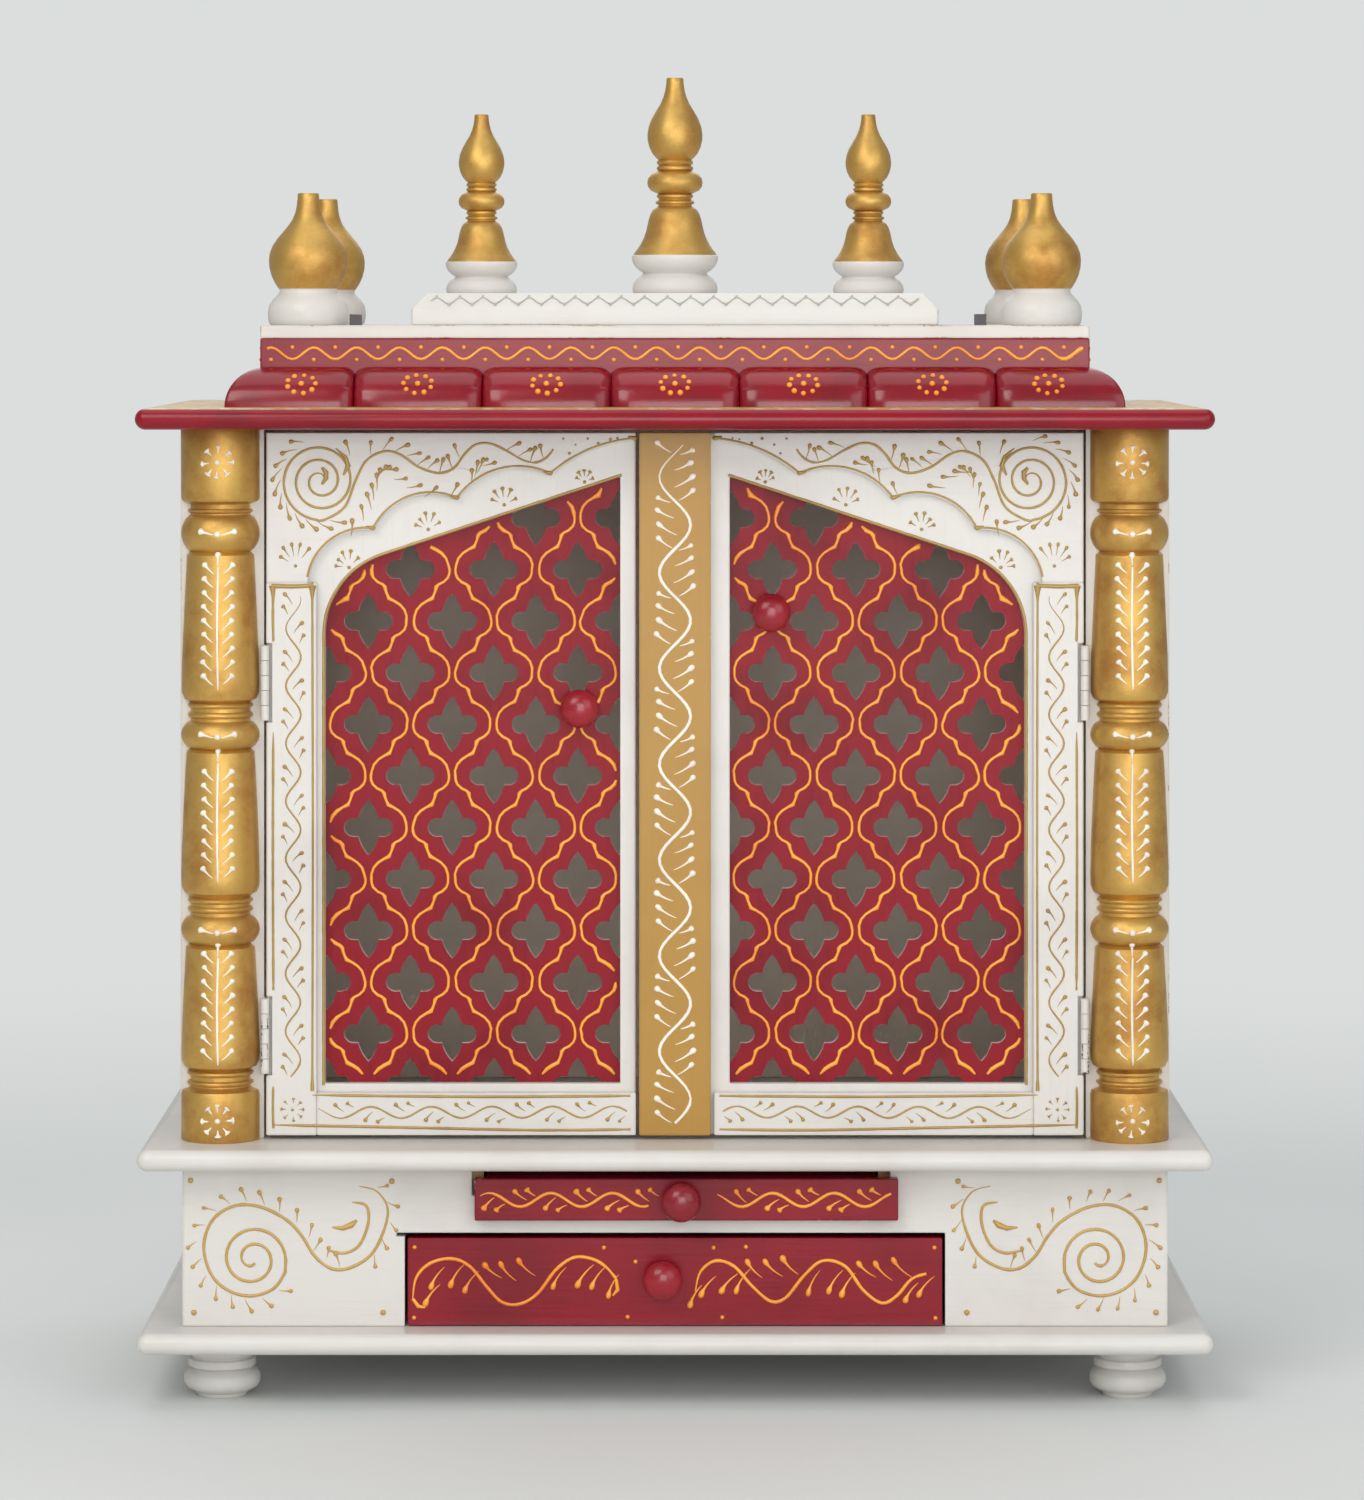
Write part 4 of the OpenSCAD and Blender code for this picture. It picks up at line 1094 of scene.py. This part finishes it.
def door_ornament(rng, mirror):
    """Gold work on one door: borders, vines, the spandrel's spiral and the small fans behind the cusps."""
    d = door_measures()
    trims, board = [], []
    w = bpy.context.scene.shrine_sizes.line_width
    left, right = d["hinge"] + 3.6, d["stile"] - 2.6
    top, foot = d["stile_top"] - 1.8, d["foot"] + 4
    trims.append(drawn_line([(left - 0.8, top), ((left + right) / 2, top - 0.4), (right + 0.6, top + 0.2)],
                            w * 1.9, rng, fade=False))
    trims.append([(left, top, 2.2), (left + 0.3, top - 4, 1.3), (left + 0.4, top - 9, 0.6)])
    trims.append([(right, top, 2.2), (right, top - 4, 1.3), (right, top - 9, 0.6)])
    for a, b in ((top - 2, top - 32), (top - 84, top - 232), (foot + 24, foot)):
        trims.append(drawn_line([(left + 0.4, a), (left + 0.2, (a + b) / 2), (left + 0.5, b)], w * 1.15, rng))
    rail = d["rail_top"]
    trims.append(drawn_line([(right, top), (right + 0.3, (top + rail) / 2), (right, rail + 1)], w, rng, step=6,
                            fade=False))
    trims.append(drawn_line([(right, rail - 1.4), (-110, rail - 2.4), (d["meeting"] - 3, rail - 1.8)], w * 1.2, rng,
                            step=6))
    trims.append(drawn_line([(left, foot + 2), (-150, foot + 0.4), (-80, foot - 1), (d["meeting"] - 3, foot - 0.6)],
                            w * 1.25, rng, step=6))
    centre = (left + right) / 2 + 0.6
    trims += waving_vine(centre, top - 6, centre + rng.uniform(-0.5, 0.5), d["rail_top"] + 9, 4.3, 33, rng, w * 0.85,
                         6.4, 1.55, 6.2, 1.2)
    v = (d["rail_top"] + d["foot"]) / 2 + 0.8
    trims += waving_vine(right + 3.5, v, d["meeting"] - 5, v + 0.4, 3.3, 34.7, rng, w * 0.85, 5.6, 1.5, 5.6, 2.4)
    trims += flower(centre - 0.6, v + 1.6, 6.6, rng, 8, 1.7)
    cx, cy = -203.5, 524.8
    coil = spiral(cx, cy, 2.0, 22.6, 275, 2.75, 1, 90)
    trims.append(drawn_line(coil + SPANDREL_STEM[1:], w * 1.15, rng, 2.0))
    trims.append([(cx + 1, cy - 2, 0.8), (cx + 3.4, cy + 1.5, 1.5), (cx + 3.4, cy + 5, 1.7), (cx + 1, cy + 7.6, 0.9)])
    trims.append([(-190.2, 528, 0.6), (-187.4, 533.5, 1.7), (-189, 538.6, 1.2), (-194.6, 543.6, 0.4)])
    for i in range(15):
        a = math.radians(58 + i * 17.4)
        reach = 27.6 + rng.uniform(-0.8, 0.8)
        u, vv = cx + reach * 1.0 * math.cos(a), cy + reach * math.sin(a)
        if d["hinge"] + 2.5 < u and vv < d["top"] - 2:
            trims.append(leaf(u, vv, math.degrees(a) + 180 + 62, rng.uniform(7.5, 9.5), wobble(2.2, 0.15, rng), -0.2))
    stem = smooth_path(SPANDREL_STEM, 1.6)
    upper = [s for s in leaves_along(stem[14:], 1, rng, 7.8, 6.8, 8.8, 2.2, 48, 2)
             if s[0][1] < d["top"] - 2.4 and s[0][0] > -176]
    trims += upper
    edge = [p for piece in spandrel_edge(d) for p in piece]

    def above_edge(u, vv, margin=3.2):
        near = min(edge, key=lambda p: abs(p[0] - u))
        return vv > near[1] + margin

    trims += [s for s in leaves_along(stem, -1, rng, 8.4, 6.4, 8.6, 2.2, -44, 2.8, 0.14)
              if above_edge(s[3][0], s[3][1])]
    for u, vv in ((-64, 549), (-57, 545.6), (-50, 549), (-44, 546.4), (-37, 548.6), (-60.5, 540.6), (-33, 549.2)):
        trims.append(dot(u, vv, rng.uniform(0.6, 1.1)))
    trims += fan(-217.6, 476, 10.5, rng, (52, 78, 100, 124, 148), 1.9)
    for piece in spandrel_edge(d):
        trims.append(drawn_line([(u - 0.5, vv + 1.3) for u, vv in piece], w * 0.95, rng, 3, fade=False, blobs=False))
        u, vv = piece[-1]
        trims.append([(u - 4.5, vv + 2.2, 0.5), (u - 2, vv + 1.6, 1.2), (u - 0.2, vv + 1.2, 1.5),
                      (u + 0.8, vv + 1.8, 0.6)])
    for u, vv, turn_by in ((-187.2, 475, 22), (-141.7, 496.8, 8), (-98.1, 510.9, 4), (-51.9, 524, 0)):
        size = 8.0 if u < -60 else 5.6
        board += fan(u, vv, size, rng, (62 + turn_by, 92 + turn_by, 122 + turn_by, 152 + turn_by, 24 + turn_by), 2.1)
    board.append(drawn_line(arch_line(d, 0.9)[1:], 1.7, rng, 3, fade=False, blobs=False))
    if mirror:
        return mirrored(trims), mirrored(board), d
    return trims, board, d


class SHRINE_OT_door_painting(bpy.types.Operator):
    """Paint the gold lines and dabs on both doors"""
    bl_idname = "shrine.door_painting"
    bl_label = "Gold work on the doors"

    def execute(self, context):
        gold = cone_paint("Cone gold", colours().line_gold, srgb(150, 116, 52), 0.34, 0.25)
        for body, seed, mirror in (("left_door", 11, False), ("right_door", 23, True)):
            rng = random.Random(seed)
            trims, board, d = door_ornament(rng, mirror)
            paint(body + "_gold_work", trims, flat_front(d["trim_y"]), body, "gold_paint", gold, d["trim_y"])
            paint(body + "_inner_gold_work", board, flat_front(d["board_y"]), body, "gold_paint", gold, d["board_y"])
        return {"FINISHED"}


STEP = ((0, 1), (0.08, 0.985), (0.16, 0.9), (0.24, 0.66), (0.29, 0.36), (0.34, 0.24), (0.42, 0.19), (0.5, 0.1),
        (0.56, 0.02), (0.61, -0.28), (0.68, -0.6), (0.78, -0.86), (0.9, -0.98), (1, -1))


class SHRINE_OT_jali_painting(bpy.types.Operator):
    """Paint the stepped waving lines between the holes of both jali sheets"""
    bl_idname = "shrine.jali_painting"
    bl_label = "Orange lines on the jali"

    def execute(self, context):
        orange = cone_paint("Cone orange", colours().line_orange, srgb(232, 120, 24), 0.24)
        d = door_measures()
        y = mm_box("left_lattice")[0][1]
        for body, seed, mirror in (("left_door", 5, False), ("right_door", 9, True)):
            rng = random.Random(seed)
            strokes = []
            first = d["meeting"] - WINDOW_MEETING - 0.4
            z_first = d["top"] - ARCH_DROP + 7.2
            half_rise = JALI_RISE / 2
            for i in range(7):
                middle = first - (i + 0.5) * JALI_PITCH
                zero = z_first - (i % 2) * half_rise
                path = []
                for k in range(-8, 5):
                    top_z = zero + k * JALI_RISE
                    for half in (0, 1):
                        sign = 1 if half == 0 else -1
                        jitter = rng.uniform(-0.5, 0.5)
                        for t, w in STEP[:-1]:
                            path.append((middle - sign * w * WAVE_SWING + jitter,
                                         top_z - (half + t) * half_rise, 1.55 if t in (0.34, 0.56) else 1.0))
                path.sort(key=lambda p: p[1])
                run = []
                for u, v, fat in path + [(0, 9999, 1)]:
                    if under_arch(d, u, v, 2.2):
                        run.append((u, v, fat))
                    else:
                        if len(run) > 6:
                            smooth = smooth_path(run, 2.4)
                            last = len(smooth) - 1
                            stroke = []
                            for n, (uu, vv, fat2) in enumerate(smooth):
                                r = wobble(0.86, 0.08, rng) * fat2
                                if n in (0, last):
                                    r *= 0.8
                                if n in (1, 2, last - 1, last - 2):
                                    r *= 1.45
                                stroke.append((uu, vv, r))
                            strokes.append(stroke)
                        run = []
            if mirror:
                strokes = mirrored(strokes)
            paint(body + "_jali_lines", strokes, flat_front(y), body, "gold_paint", orange, y)
        return {"FINISHED"}


def on_column(side):
    """Wrap strokes round a turned column, with u measured along its face and v up."""
    low = mm_box("columns")[0]
    places = turned_places()
    cx, cy = side * places["column_x"], places["face_y"]

    def place(u, v, r):
        around = column_radius(v - low[2])
        angle = u / around
        return (cx + around * math.sin(angle), cy - around * math.cos(angle), v)
    return place


class SHRINE_OT_column_painting(bpy.types.Operator):
    """Paint the white flowers and leafy stems on both columns"""
    bl_idname = "shrine.column_painting"
    bl_label = "White work on the columns"

    def execute(self, context):
        white = cone_paint("Cone white", colours().line_white, srgb(226, 212, 196), 0.3)
        for side in (-1, 1):
            rng = random.Random(31 + side)
            strokes = []
            for v in (536, 160):
                strokes += flower(0, v, 9.2, rng, 8, 3.2)
            for v in (494.9, 379.2, 267.5):
                strokes.append(dot(0, v, 2.0))
                strokes.append(leaf(-10.5, v + 1.6, -14, 8.6, 3.3))
                strokes.append(leaf(10.5, v + 1.6, 194, 8.6, 3.3))
            for top, foot in ((478, 406), (366, 296), (255, 192)):
                strokes.append(drawn_line([(0.3, foot), (-0.3, (top + foot) / 2), (0.2, top - 2)], 1.5, rng, 5))
                strokes.append(leaf(0, top + 5.5, 270, 7, 3.0))
                v = foot + 6
                while v < top - 1:
                    for turn_by in (-1, 1):
                        strokes.append(leaf(turn_by * wobble(8.6, 0.06, rng), v + 2.6, 270 - turn_by * 37,
                                            wobble(8.0, 0.1, rng), wobble(3.0, 0.12, rng), -turn_by * 0.16))
                    v += 7.9
            paint("right_column_white_work" if side > 0 else "left_column_white_work", strokes, on_column(side),
                  "cabinet", "white_paint", white)
        return {"FINISHED"}


class SHRINE_OT_strip_painting(bpy.types.Operator):
    """Paint the white scroll on the gold strip between the doors"""
    bl_idname = "shrine.strip_painting"
    bl_label = "White scroll on the centre strip"

    def execute(self, context):
        rng = random.Random(7)
        low, high = mm_box("centre_strip")
        white = cone_paint("Cone white", colours().line_white, srgb(226, 212, 196), 0.3)
        top, foot = high[2] - 7, low[2] + 7
        stem = []
        count = 110
        for i in range(count + 1):
            v = top + (foot - top) * i / count
            stem.append((9 * math.sin(2 * math.pi * (top - v) / 54.9 + 2.6), v))
        strokes = [drawn_line(stem, 2.1, rng, 2.6)]
        v = top - 54.9 * (math.pi / 2 - 2.6 + 2 * math.pi) / (2 * math.pi) + 54.9
        sign = 1
        while v > foot - 10:
            for n, (drop, size) in enumerate(((-15, 0.7), (-8, 0.95), (0, 1.1), (8, 0.9))):
                vv = v - drop - 3
                if not foot - 3 < vv < top + 4:
                    continue
                u = -sign * (10.5 + rng.uniform(-0.8, 0.6))
                strokes.append(leaf(u, vv + 4, 270 + sign * (56 - 5 * n), 11.5 * size, wobble(2.9, 0.12, rng),
                                    sign * 0.22))
            sign = -sign
            v -= 54.9 / 2
        paint("centre_strip_white_work", strokes, flat_front(low[1]), "right_door", "white_paint", white, low[1])
        return {"FINISHED"}


def case_hook(rng):
    """Gold scroll on one side of the base: a hooked stem that coils up, with dabs round it."""
    strokes = []
    hook = smooth_path(CASE_HOOK, 2.0)
    coil = spiral(-241, 81.5, 2.6, 19.5, -24, 1.9, -1, 56)
    strokes.append(drawn_line(CASE_HOOK + list(reversed(coil))[1:], 1.9, rng, 2.0))
    strokes.append(drawn_line([(-184.2, 113.9), (-176, 111.8), (-175, 101.6), (-180.1, 89.4), (-188.3, 84.9),
                               (-197.4, 86.3)], 1.8, rng, 1.6))
    strokes.append([(-181.5, 103.5, 0.7), (-184.5, 101, 1.9), (-189.5, 99, 1.5), (-195.5, 99.5, 0.5)])
    outer = leaves_along(hook[30:], -1, rng, 8.6, 8.2, 7.6, 2.1, 52, 3, 0.12)
    strokes += [s for s in outer if s[3][0] < -158]
    for u, v in ((-276.3, 126.3), (-161.5, 125.9), (-274.4, 51.0), (-166.5, 51.0)):
        strokes.append(dot(u, v, 1.8))
    strokes += leaves_along(hook[:26], 1, rng, 6.4, 8.8, 7.0, 2.0, 56, 2, -0.12)
    low, high = mm_box("case_front")
    return [s for s in strokes if all(low[0] + 1.5 < u < -155.5 and low[2] + 2 < v < high[2] - 1.2 for u, v, r in s)]


class SHRINE_OT_base_painting(bpy.types.Operator):
    """Paint the gold scrolls on the base, and the orange vines on the drawer and the tray strip"""
    bl_idname = "shrine.base_painting"
    bl_label = "Scrolls on the base, drawer and tray"

    def execute(self, context):
        gold = cone_paint("Cone gold bright", srgb(196, 158, 84), srgb(176, 136, 66), 0.34, 0.2)
        orange = cone_paint("Cone orange", colours().line_orange, srgb(232, 120, 24), 0.24)
        y = mm_box("case_front")[0][1]
        both = case_hook(random.Random(3)) + mirrored(case_hook(random.Random(4)))
        paint("base_scrolls", both, flat_front(y), "cabinet", "gold_paint", gold, y)

        rng = random.Random(17)
        strokes = []
        heads = {
            74: [(-137.3, 65), (-126.1, 66), (-118, 62.9), (-67.7, 65), (-53.8, 66), (-45.7, 65), (16.7, 60.5),
                 (28.3, 62.6), (36.8, 62.6), (78, 61.4), (89.6, 62.5), (97, 60.5), (133.3, 57.3), (140.9, 60.5),
                 (-140.5, 55.5), (-36, 60), (10.5, 54.5)],
            -62: [(-106.8, 78.6), (-97.6, 79.2), (-87.4, 81.2), (43.1, 80.5), (53.2, 80.5), (63.2, 82.5),
                  (106.5, 79.4), (116.1, 79.4), (126.4, 81.4)]}
        for points, turn_by in ((DRAWER_LEFT, -150), (DRAWER_RIGHT, 20)):
            strokes.append(drawn_line(points, 2.1, rng, 2.2))
        strokes.append([(-142.4, 53.8, 0.6), (-146.5, 54.5, 1.3), (-149.6, 58.9, 1.05)])
        strokes.append([(-33.5, 70.1, 1.0), (-32.6, 64, 1.4), (-35.5, 60.5, 0.5)])
        for angle, places in heads.items():
            for u, v in places:
                strokes.append(leaf(u - 2, v, angle + rng.uniform(-9, 9), wobble(13.5, 0.1, rng), wobble(2.9, 0.1, rng),
                                    -0.32 if angle > 0 else 0.32))
        for u, v in ((-148.5, 88.2), (-40.5, 88), (40.5, 88.4), (148, 88), (-148.8, 48), (-27, 48.5), (27, 48.2),
                     (148.6, 47.8), (-22.5, 80), (22, 88)):
            strokes.append(dot(u, v, 1.3))
        low, high = mm_box("drawer_front")
        strokes = [s for s in strokes if all(low[0] + 1 < u < high[0] - 1 and low[2] + 1 < v < high[2] - 1 and
                                             math.dist((u, v), ((low[0] + high[0]) / 2, (low[2] + high[2]) / 2)) > 10.5
                                             for u, v, r in s)]
        paint("drawer_vines", strokes, flat_front(low[1]), "drawer", "gold_paint", orange, low[1])

        low, high = mm_box("tray_front_strip")
        v = (low[2] + high[2]) / 2
        strokes = []
        for a, b, shift in ((low[0] + 3, -15, 0.6), (24, high[0] - 4, 2.2)):
            strokes += waving_vine(a, v, b, v, 3.9, 35, rng, 1.9, 7.4, 2.2, 6.2, shift)
        strokes = [s for s in strokes if all(low[0] + 0.8 < u < high[0] - 0.8 and low[2] + 0.8 < w < high[2] - 0.8
                                             for u, w, r in s)]
        paint("tray_vine", strokes, flat_front(low[1]), "tray", "gold_paint", orange, low[1])
        return {"FINISHED"}


class SHRINE_OT_roof_painting(bpy.types.Operator):
    """Paint the dotted rings on the pillows, the waves round the frieze and the platform's edge"""
    bl_idname = "shrine.roof_painting"
    bl_label = "Dots and waves on the roof"

    def execute(self, context):
        rng = random.Random(41)
        orange = cone_paint("Cone orange", colours().line_orange, srgb(232, 120, 24), 0.24)
        low, high = mm_box("pillow_moulding_front")
        radius = high[2] - low[2]

        def on_pillow(u, v, r):
            angle = v / radius
            return (u, high[1] - radius * math.cos(angle) * 0.985, low[2] + radius * math.sin(angle) * 0.985)

        strokes = []
        pitch = 2 * high[0] / 7
        for i in range(7):
            u0 = -high[0] + pitch * (i + 0.5) + (7 if i == 0 else -7 if i == 6 else 0)
            strokes.append(dot(u0, 14.6, 1.9))
            for k in range(9):
                a = 2 * math.pi * k / 9 + 0.3 * i
                strokes.append(dot(u0 + 8.2 * math.cos(a), 14.6 + 6.4 * math.sin(a), rng.uniform(1.5, 1.9)))
        paint("pillow_dots_front", strokes, on_pillow, "cabinet", "gold_paint", orange)
        depth_high = mm_box("pillow_moulding_sides")[1]
        strokes = []
        third = (depth_high[1] - high[1]) / 3
        for i in range(3):
            v0 = high[1] + third * (i + 0.5)
            strokes.append(dot(v0, 14.6, 1.5))
            for k in range(9):
                a = 2 * math.pi * k / 9 + 0.3 * i
                strokes.append(dot(v0 + 8.2 * math.cos(a), 14.6 + 6.4 * math.sin(a), rng.uniform(1.5, 1.9)))
        for side in (-1, 1):
            def on_side(u, v, r, side=side):
                angle = v / radius
                return (side * (high[0] - radius + radius * math.cos(angle) * 0.985), u,
                        low[2] + radius * math.sin(angle) * 0.985)
            paint("pillow_dots_right" if side > 0 else "pillow_dots_left", strokes, on_side, "cabinet", "gold_paint",
                  orange)

        low, high = mm_box("frieze_front")
        sides = mm_box("frieze_sides")
        v = high[2] - 8.8

        def wave_and_dots(a, b):
            got = [drawn_line(vine_wave(a, v, b, v, 3.4, 24.8, 1.0), 1.7, rng, 2.4, fade=False)]
            d = 24.8 * (math.pi / 2 - 1.0) / (2 * math.pi)
            sign = -1
            while d < b - a - 2:
                got.append(dot(a + d, v + sign * 3.6, 1.3))
                d += 12.4
                sign = -sign
            return got

        paint("frieze_wave_front", wave_and_dots(low[0] + 4, high[0] - 4), flat_front(low[1]), "cabinet", "gold_paint",
              orange, low[1])
        for side in (-1, 1):
            paint("frieze_wave_right" if side > 0 else "frieze_wave_left",
                  wave_and_dots(low[1] + 5, sides[1][1] - 6),
                  lambda u, w, r, side=side: (side * high[0], u, w), "cabinet", "gold_paint", orange)
        grey = cone_paint("Cone grey", srgb(178, 176, 170), srgb(196, 193, 188), 0.3)
        low, high = mm_box("roof_platform")
        slope = 8.5
        a, b = low[0] + slope + 3, high[0] - slope - 3
        strokes = [drawn_line(vine_wave(a, 4.2, b, 4.2, 1.7, 13.5), 0.8, rng, 1.1, fade=False)]
        u = a + 3.4
        while u < b:
            strokes.append(leaf(u, 6.9, 215, 4.2, 1.1))
            strokes.append(leaf(u + 6.7, 1.7, 35, 4.2, 1.1))
            u += 13.5
        paint("platform_wave", strokes, lambda u, w, r: (u, low[1] + w, high[2] - slope + w), "cabinet", "white_paint",
              grey)
        return {"FINISHED"}


# ---------------------------------------------------------------- the stage

class SHRINE_OT_stage(bpy.types.Operator):
    """Set the floor, the backdrop, the lights and the camera"""
    bl_idname = "shrine.stage"
    bl_label = "Stage, lights and camera"

    def execute(self, context):
        deselect()
        bpy.ops.mesh.primitive_circle_add(vertices=96, radius=9, fill_type="NGON", location=(0, 0, 0))
        floor = bpy.context.object
        floor.name = "stage_floor"
        pale = srgb(219, 222, 221)
        material, tree, shader = begin_material("Stage pale paper")
        place = tree.nodes.new("ShaderNodeTexCoord").outputs["Object"]
        shader.inputs["Roughness"].default_value = 0.8
        specks = spread(tree, noise(tree, place, 2.0, 2, 0.5), 0.3, 0.7)
        tree.links.new(blend_colour(tree, specks, srgb(217, 220, 219), srgb(222, 224, 223)),
                       shader.inputs["Base Color"])
        glow = tree.nodes.new("ShaderNodeEmission")
        glow.inputs["Color"].default_value = pale
        length = tree.nodes.new("ShaderNodeVectorMath")
        length.operation = "LENGTH"
        tree.links.new(place, length.inputs[0])
        far = spread(tree, length.outputs["Value"], 0.55, 2.0)
        rays = tree.nodes.new("ShaderNodeLightPath")
        mix = tree.nodes.new("ShaderNodeMixShader")
        tree.links.new(math_node(tree, "MULTIPLY", far, rays.outputs["Is Camera Ray"]), mix.inputs[0])
        tree.links.new(shader.outputs[0], mix.inputs[1])
        tree.links.new(glow.outputs[0], mix.inputs[2])
        tree.links.new(mix.outputs[0], tree.nodes["Material Output"].inputs["Surface"])
        floor.data.materials.append(material)

        for name, spot, size, power, tint in (
                ("stage_key", (-1.3, -2.3, 2.2), 1.6, 34, (1.0, 0.975, 0.94)),
                ("stage_fill", (1.9, -2.4, 1.5), 2.2, 24, (0.96, 0.98, 1.0)),
                ("stage_front", (0.2, -3.6, 0.75), 1.5, 34, (1.0, 0.99, 0.98)),
                ("stage_top", (0.0, 0.2, 2.9), 2.6, 22, (1.0, 1.0, 1.0)),
                ("stage_back", (0.0, 2.6, 2.2), 2.4, 16, (1.0, 1.0, 1.0))):
            deselect()
            bpy.ops.object.light_add(type="AREA", location=spot)
            lamp = bpy.context.object
            lamp.name = name
            lamp.data.shape = "SQUARE"
            lamp.data.size = size
            lamp.data.energy = power
            lamp.data.color = tint
            aim = Vector((0, 0, 0.38)) - Vector(spot)
            lamp.rotation_euler = aim.to_track_quat("-Z", "Y").to_euler()

        world = bpy.data.worlds.new("Pale studio")
        context.scene.world = world
        world.use_nodes = True
        tree = world.node_tree
        back = tree.nodes["Background"]
        back.inputs["Color"].default_value = (0.86, 0.89, 0.9, 1)
        back.inputs["Strength"].default_value = 0.45
        seen = tree.nodes.new("ShaderNodeBackground")
        seen.inputs["Color"].default_value = pale
        rays = tree.nodes.new("ShaderNodeLightPath")
        mix = tree.nodes.new("ShaderNodeMixShader")
        tree.links.new(rays.outputs["Is Camera Ray"], mix.inputs[0])
        tree.links.new(back.outputs[0], mix.inputs[1])
        tree.links.new(seen.outputs[0], mix.inputs[2])
        tree.links.new(mix.outputs[0], tree.nodes["World Output"].inputs["Surface"])

        deselect()
        bpy.ops.object.camera_add(location=(0, -3.2525, 0.6228), rotation=(math.radians(90), 0, 0))
        camera = bpy.context.object
        camera.name = "stage_camera"
        camera.data.lens = 131.6
        camera.data.sensor_width = 36
        camera.data.shift_x = 0.0047
        camera.data.shift_y = -0.2933
        camera.data.clip_start = 0.05
        camera.data.clip_end = 40
        context.scene.camera = camera
        context.scene.view_settings.view_transform = "Standard"
        return {"FINISHED"}


STEPS = (SHRINE_OT_boards, SHRINE_OT_jali, SHRINE_OT_turnings, SHRINE_OT_pillows, SHRINE_OT_door_painting,
         SHRINE_OT_jali_painting, SHRINE_OT_column_painting, SHRINE_OT_strip_painting, SHRINE_OT_base_painting,
         SHRINE_OT_roof_painting, SHRINE_OT_stage)


class SHRINE_PT_panel(bpy.types.Panel):
    """Lists the steps that build the shrine's looks, in order"""
    bl_idname = "SHRINE_PT_panel"
    bl_label = "Wooden shrine"
    bl_space_type = "VIEW_3D"
    bl_region_type = "UI"
    bl_category = "Shrine"

    def draw(self, context):
        layout = self.layout
        for name in ShrineColours.__annotations__:
            layout.prop(context.scene.shrine_colours, name)
        for name in ShrineSizes.__annotations__:
            layout.prop(context.scene.shrine_sizes, name)
        for step in STEPS:
            layout.operator(step.bl_idname)


CLASSES = (ShrineColours, ShrineSizes) + STEPS + (SHRINE_PT_panel,)


def register():
    """Add the classes and the panel's settings."""
    for cls in CLASSES:
        bpy.utils.register_class(cls)
    bpy.types.Scene.shrine_colours = bpy.props.PointerProperty(type=ShrineColours)
    bpy.types.Scene.shrine_sizes = bpy.props.PointerProperty(type=ShrineSizes)


def unregister():
    """Take the classes and settings out again."""
    del bpy.types.Scene.shrine_sizes
    del bpy.types.Scene.shrine_colours
    for cls in reversed(CLASSES):
        bpy.utils.unregister_class(cls)


def main():
    """Run every step in order."""
    register()
    bpy.ops.shrine.boards()
    bpy.ops.shrine.jali()
    bpy.ops.shrine.turnings()
    bpy.ops.shrine.pillows()
    bpy.ops.shrine.door_painting()
    bpy.ops.shrine.jali_painting()
    bpy.ops.shrine.column_painting()
    bpy.ops.shrine.strip_painting()
    bpy.ops.shrine.base_painting()
    bpy.ops.shrine.roof_painting()
    bpy.ops.shrine.stage()


if __name__ == "__main__":
    main()
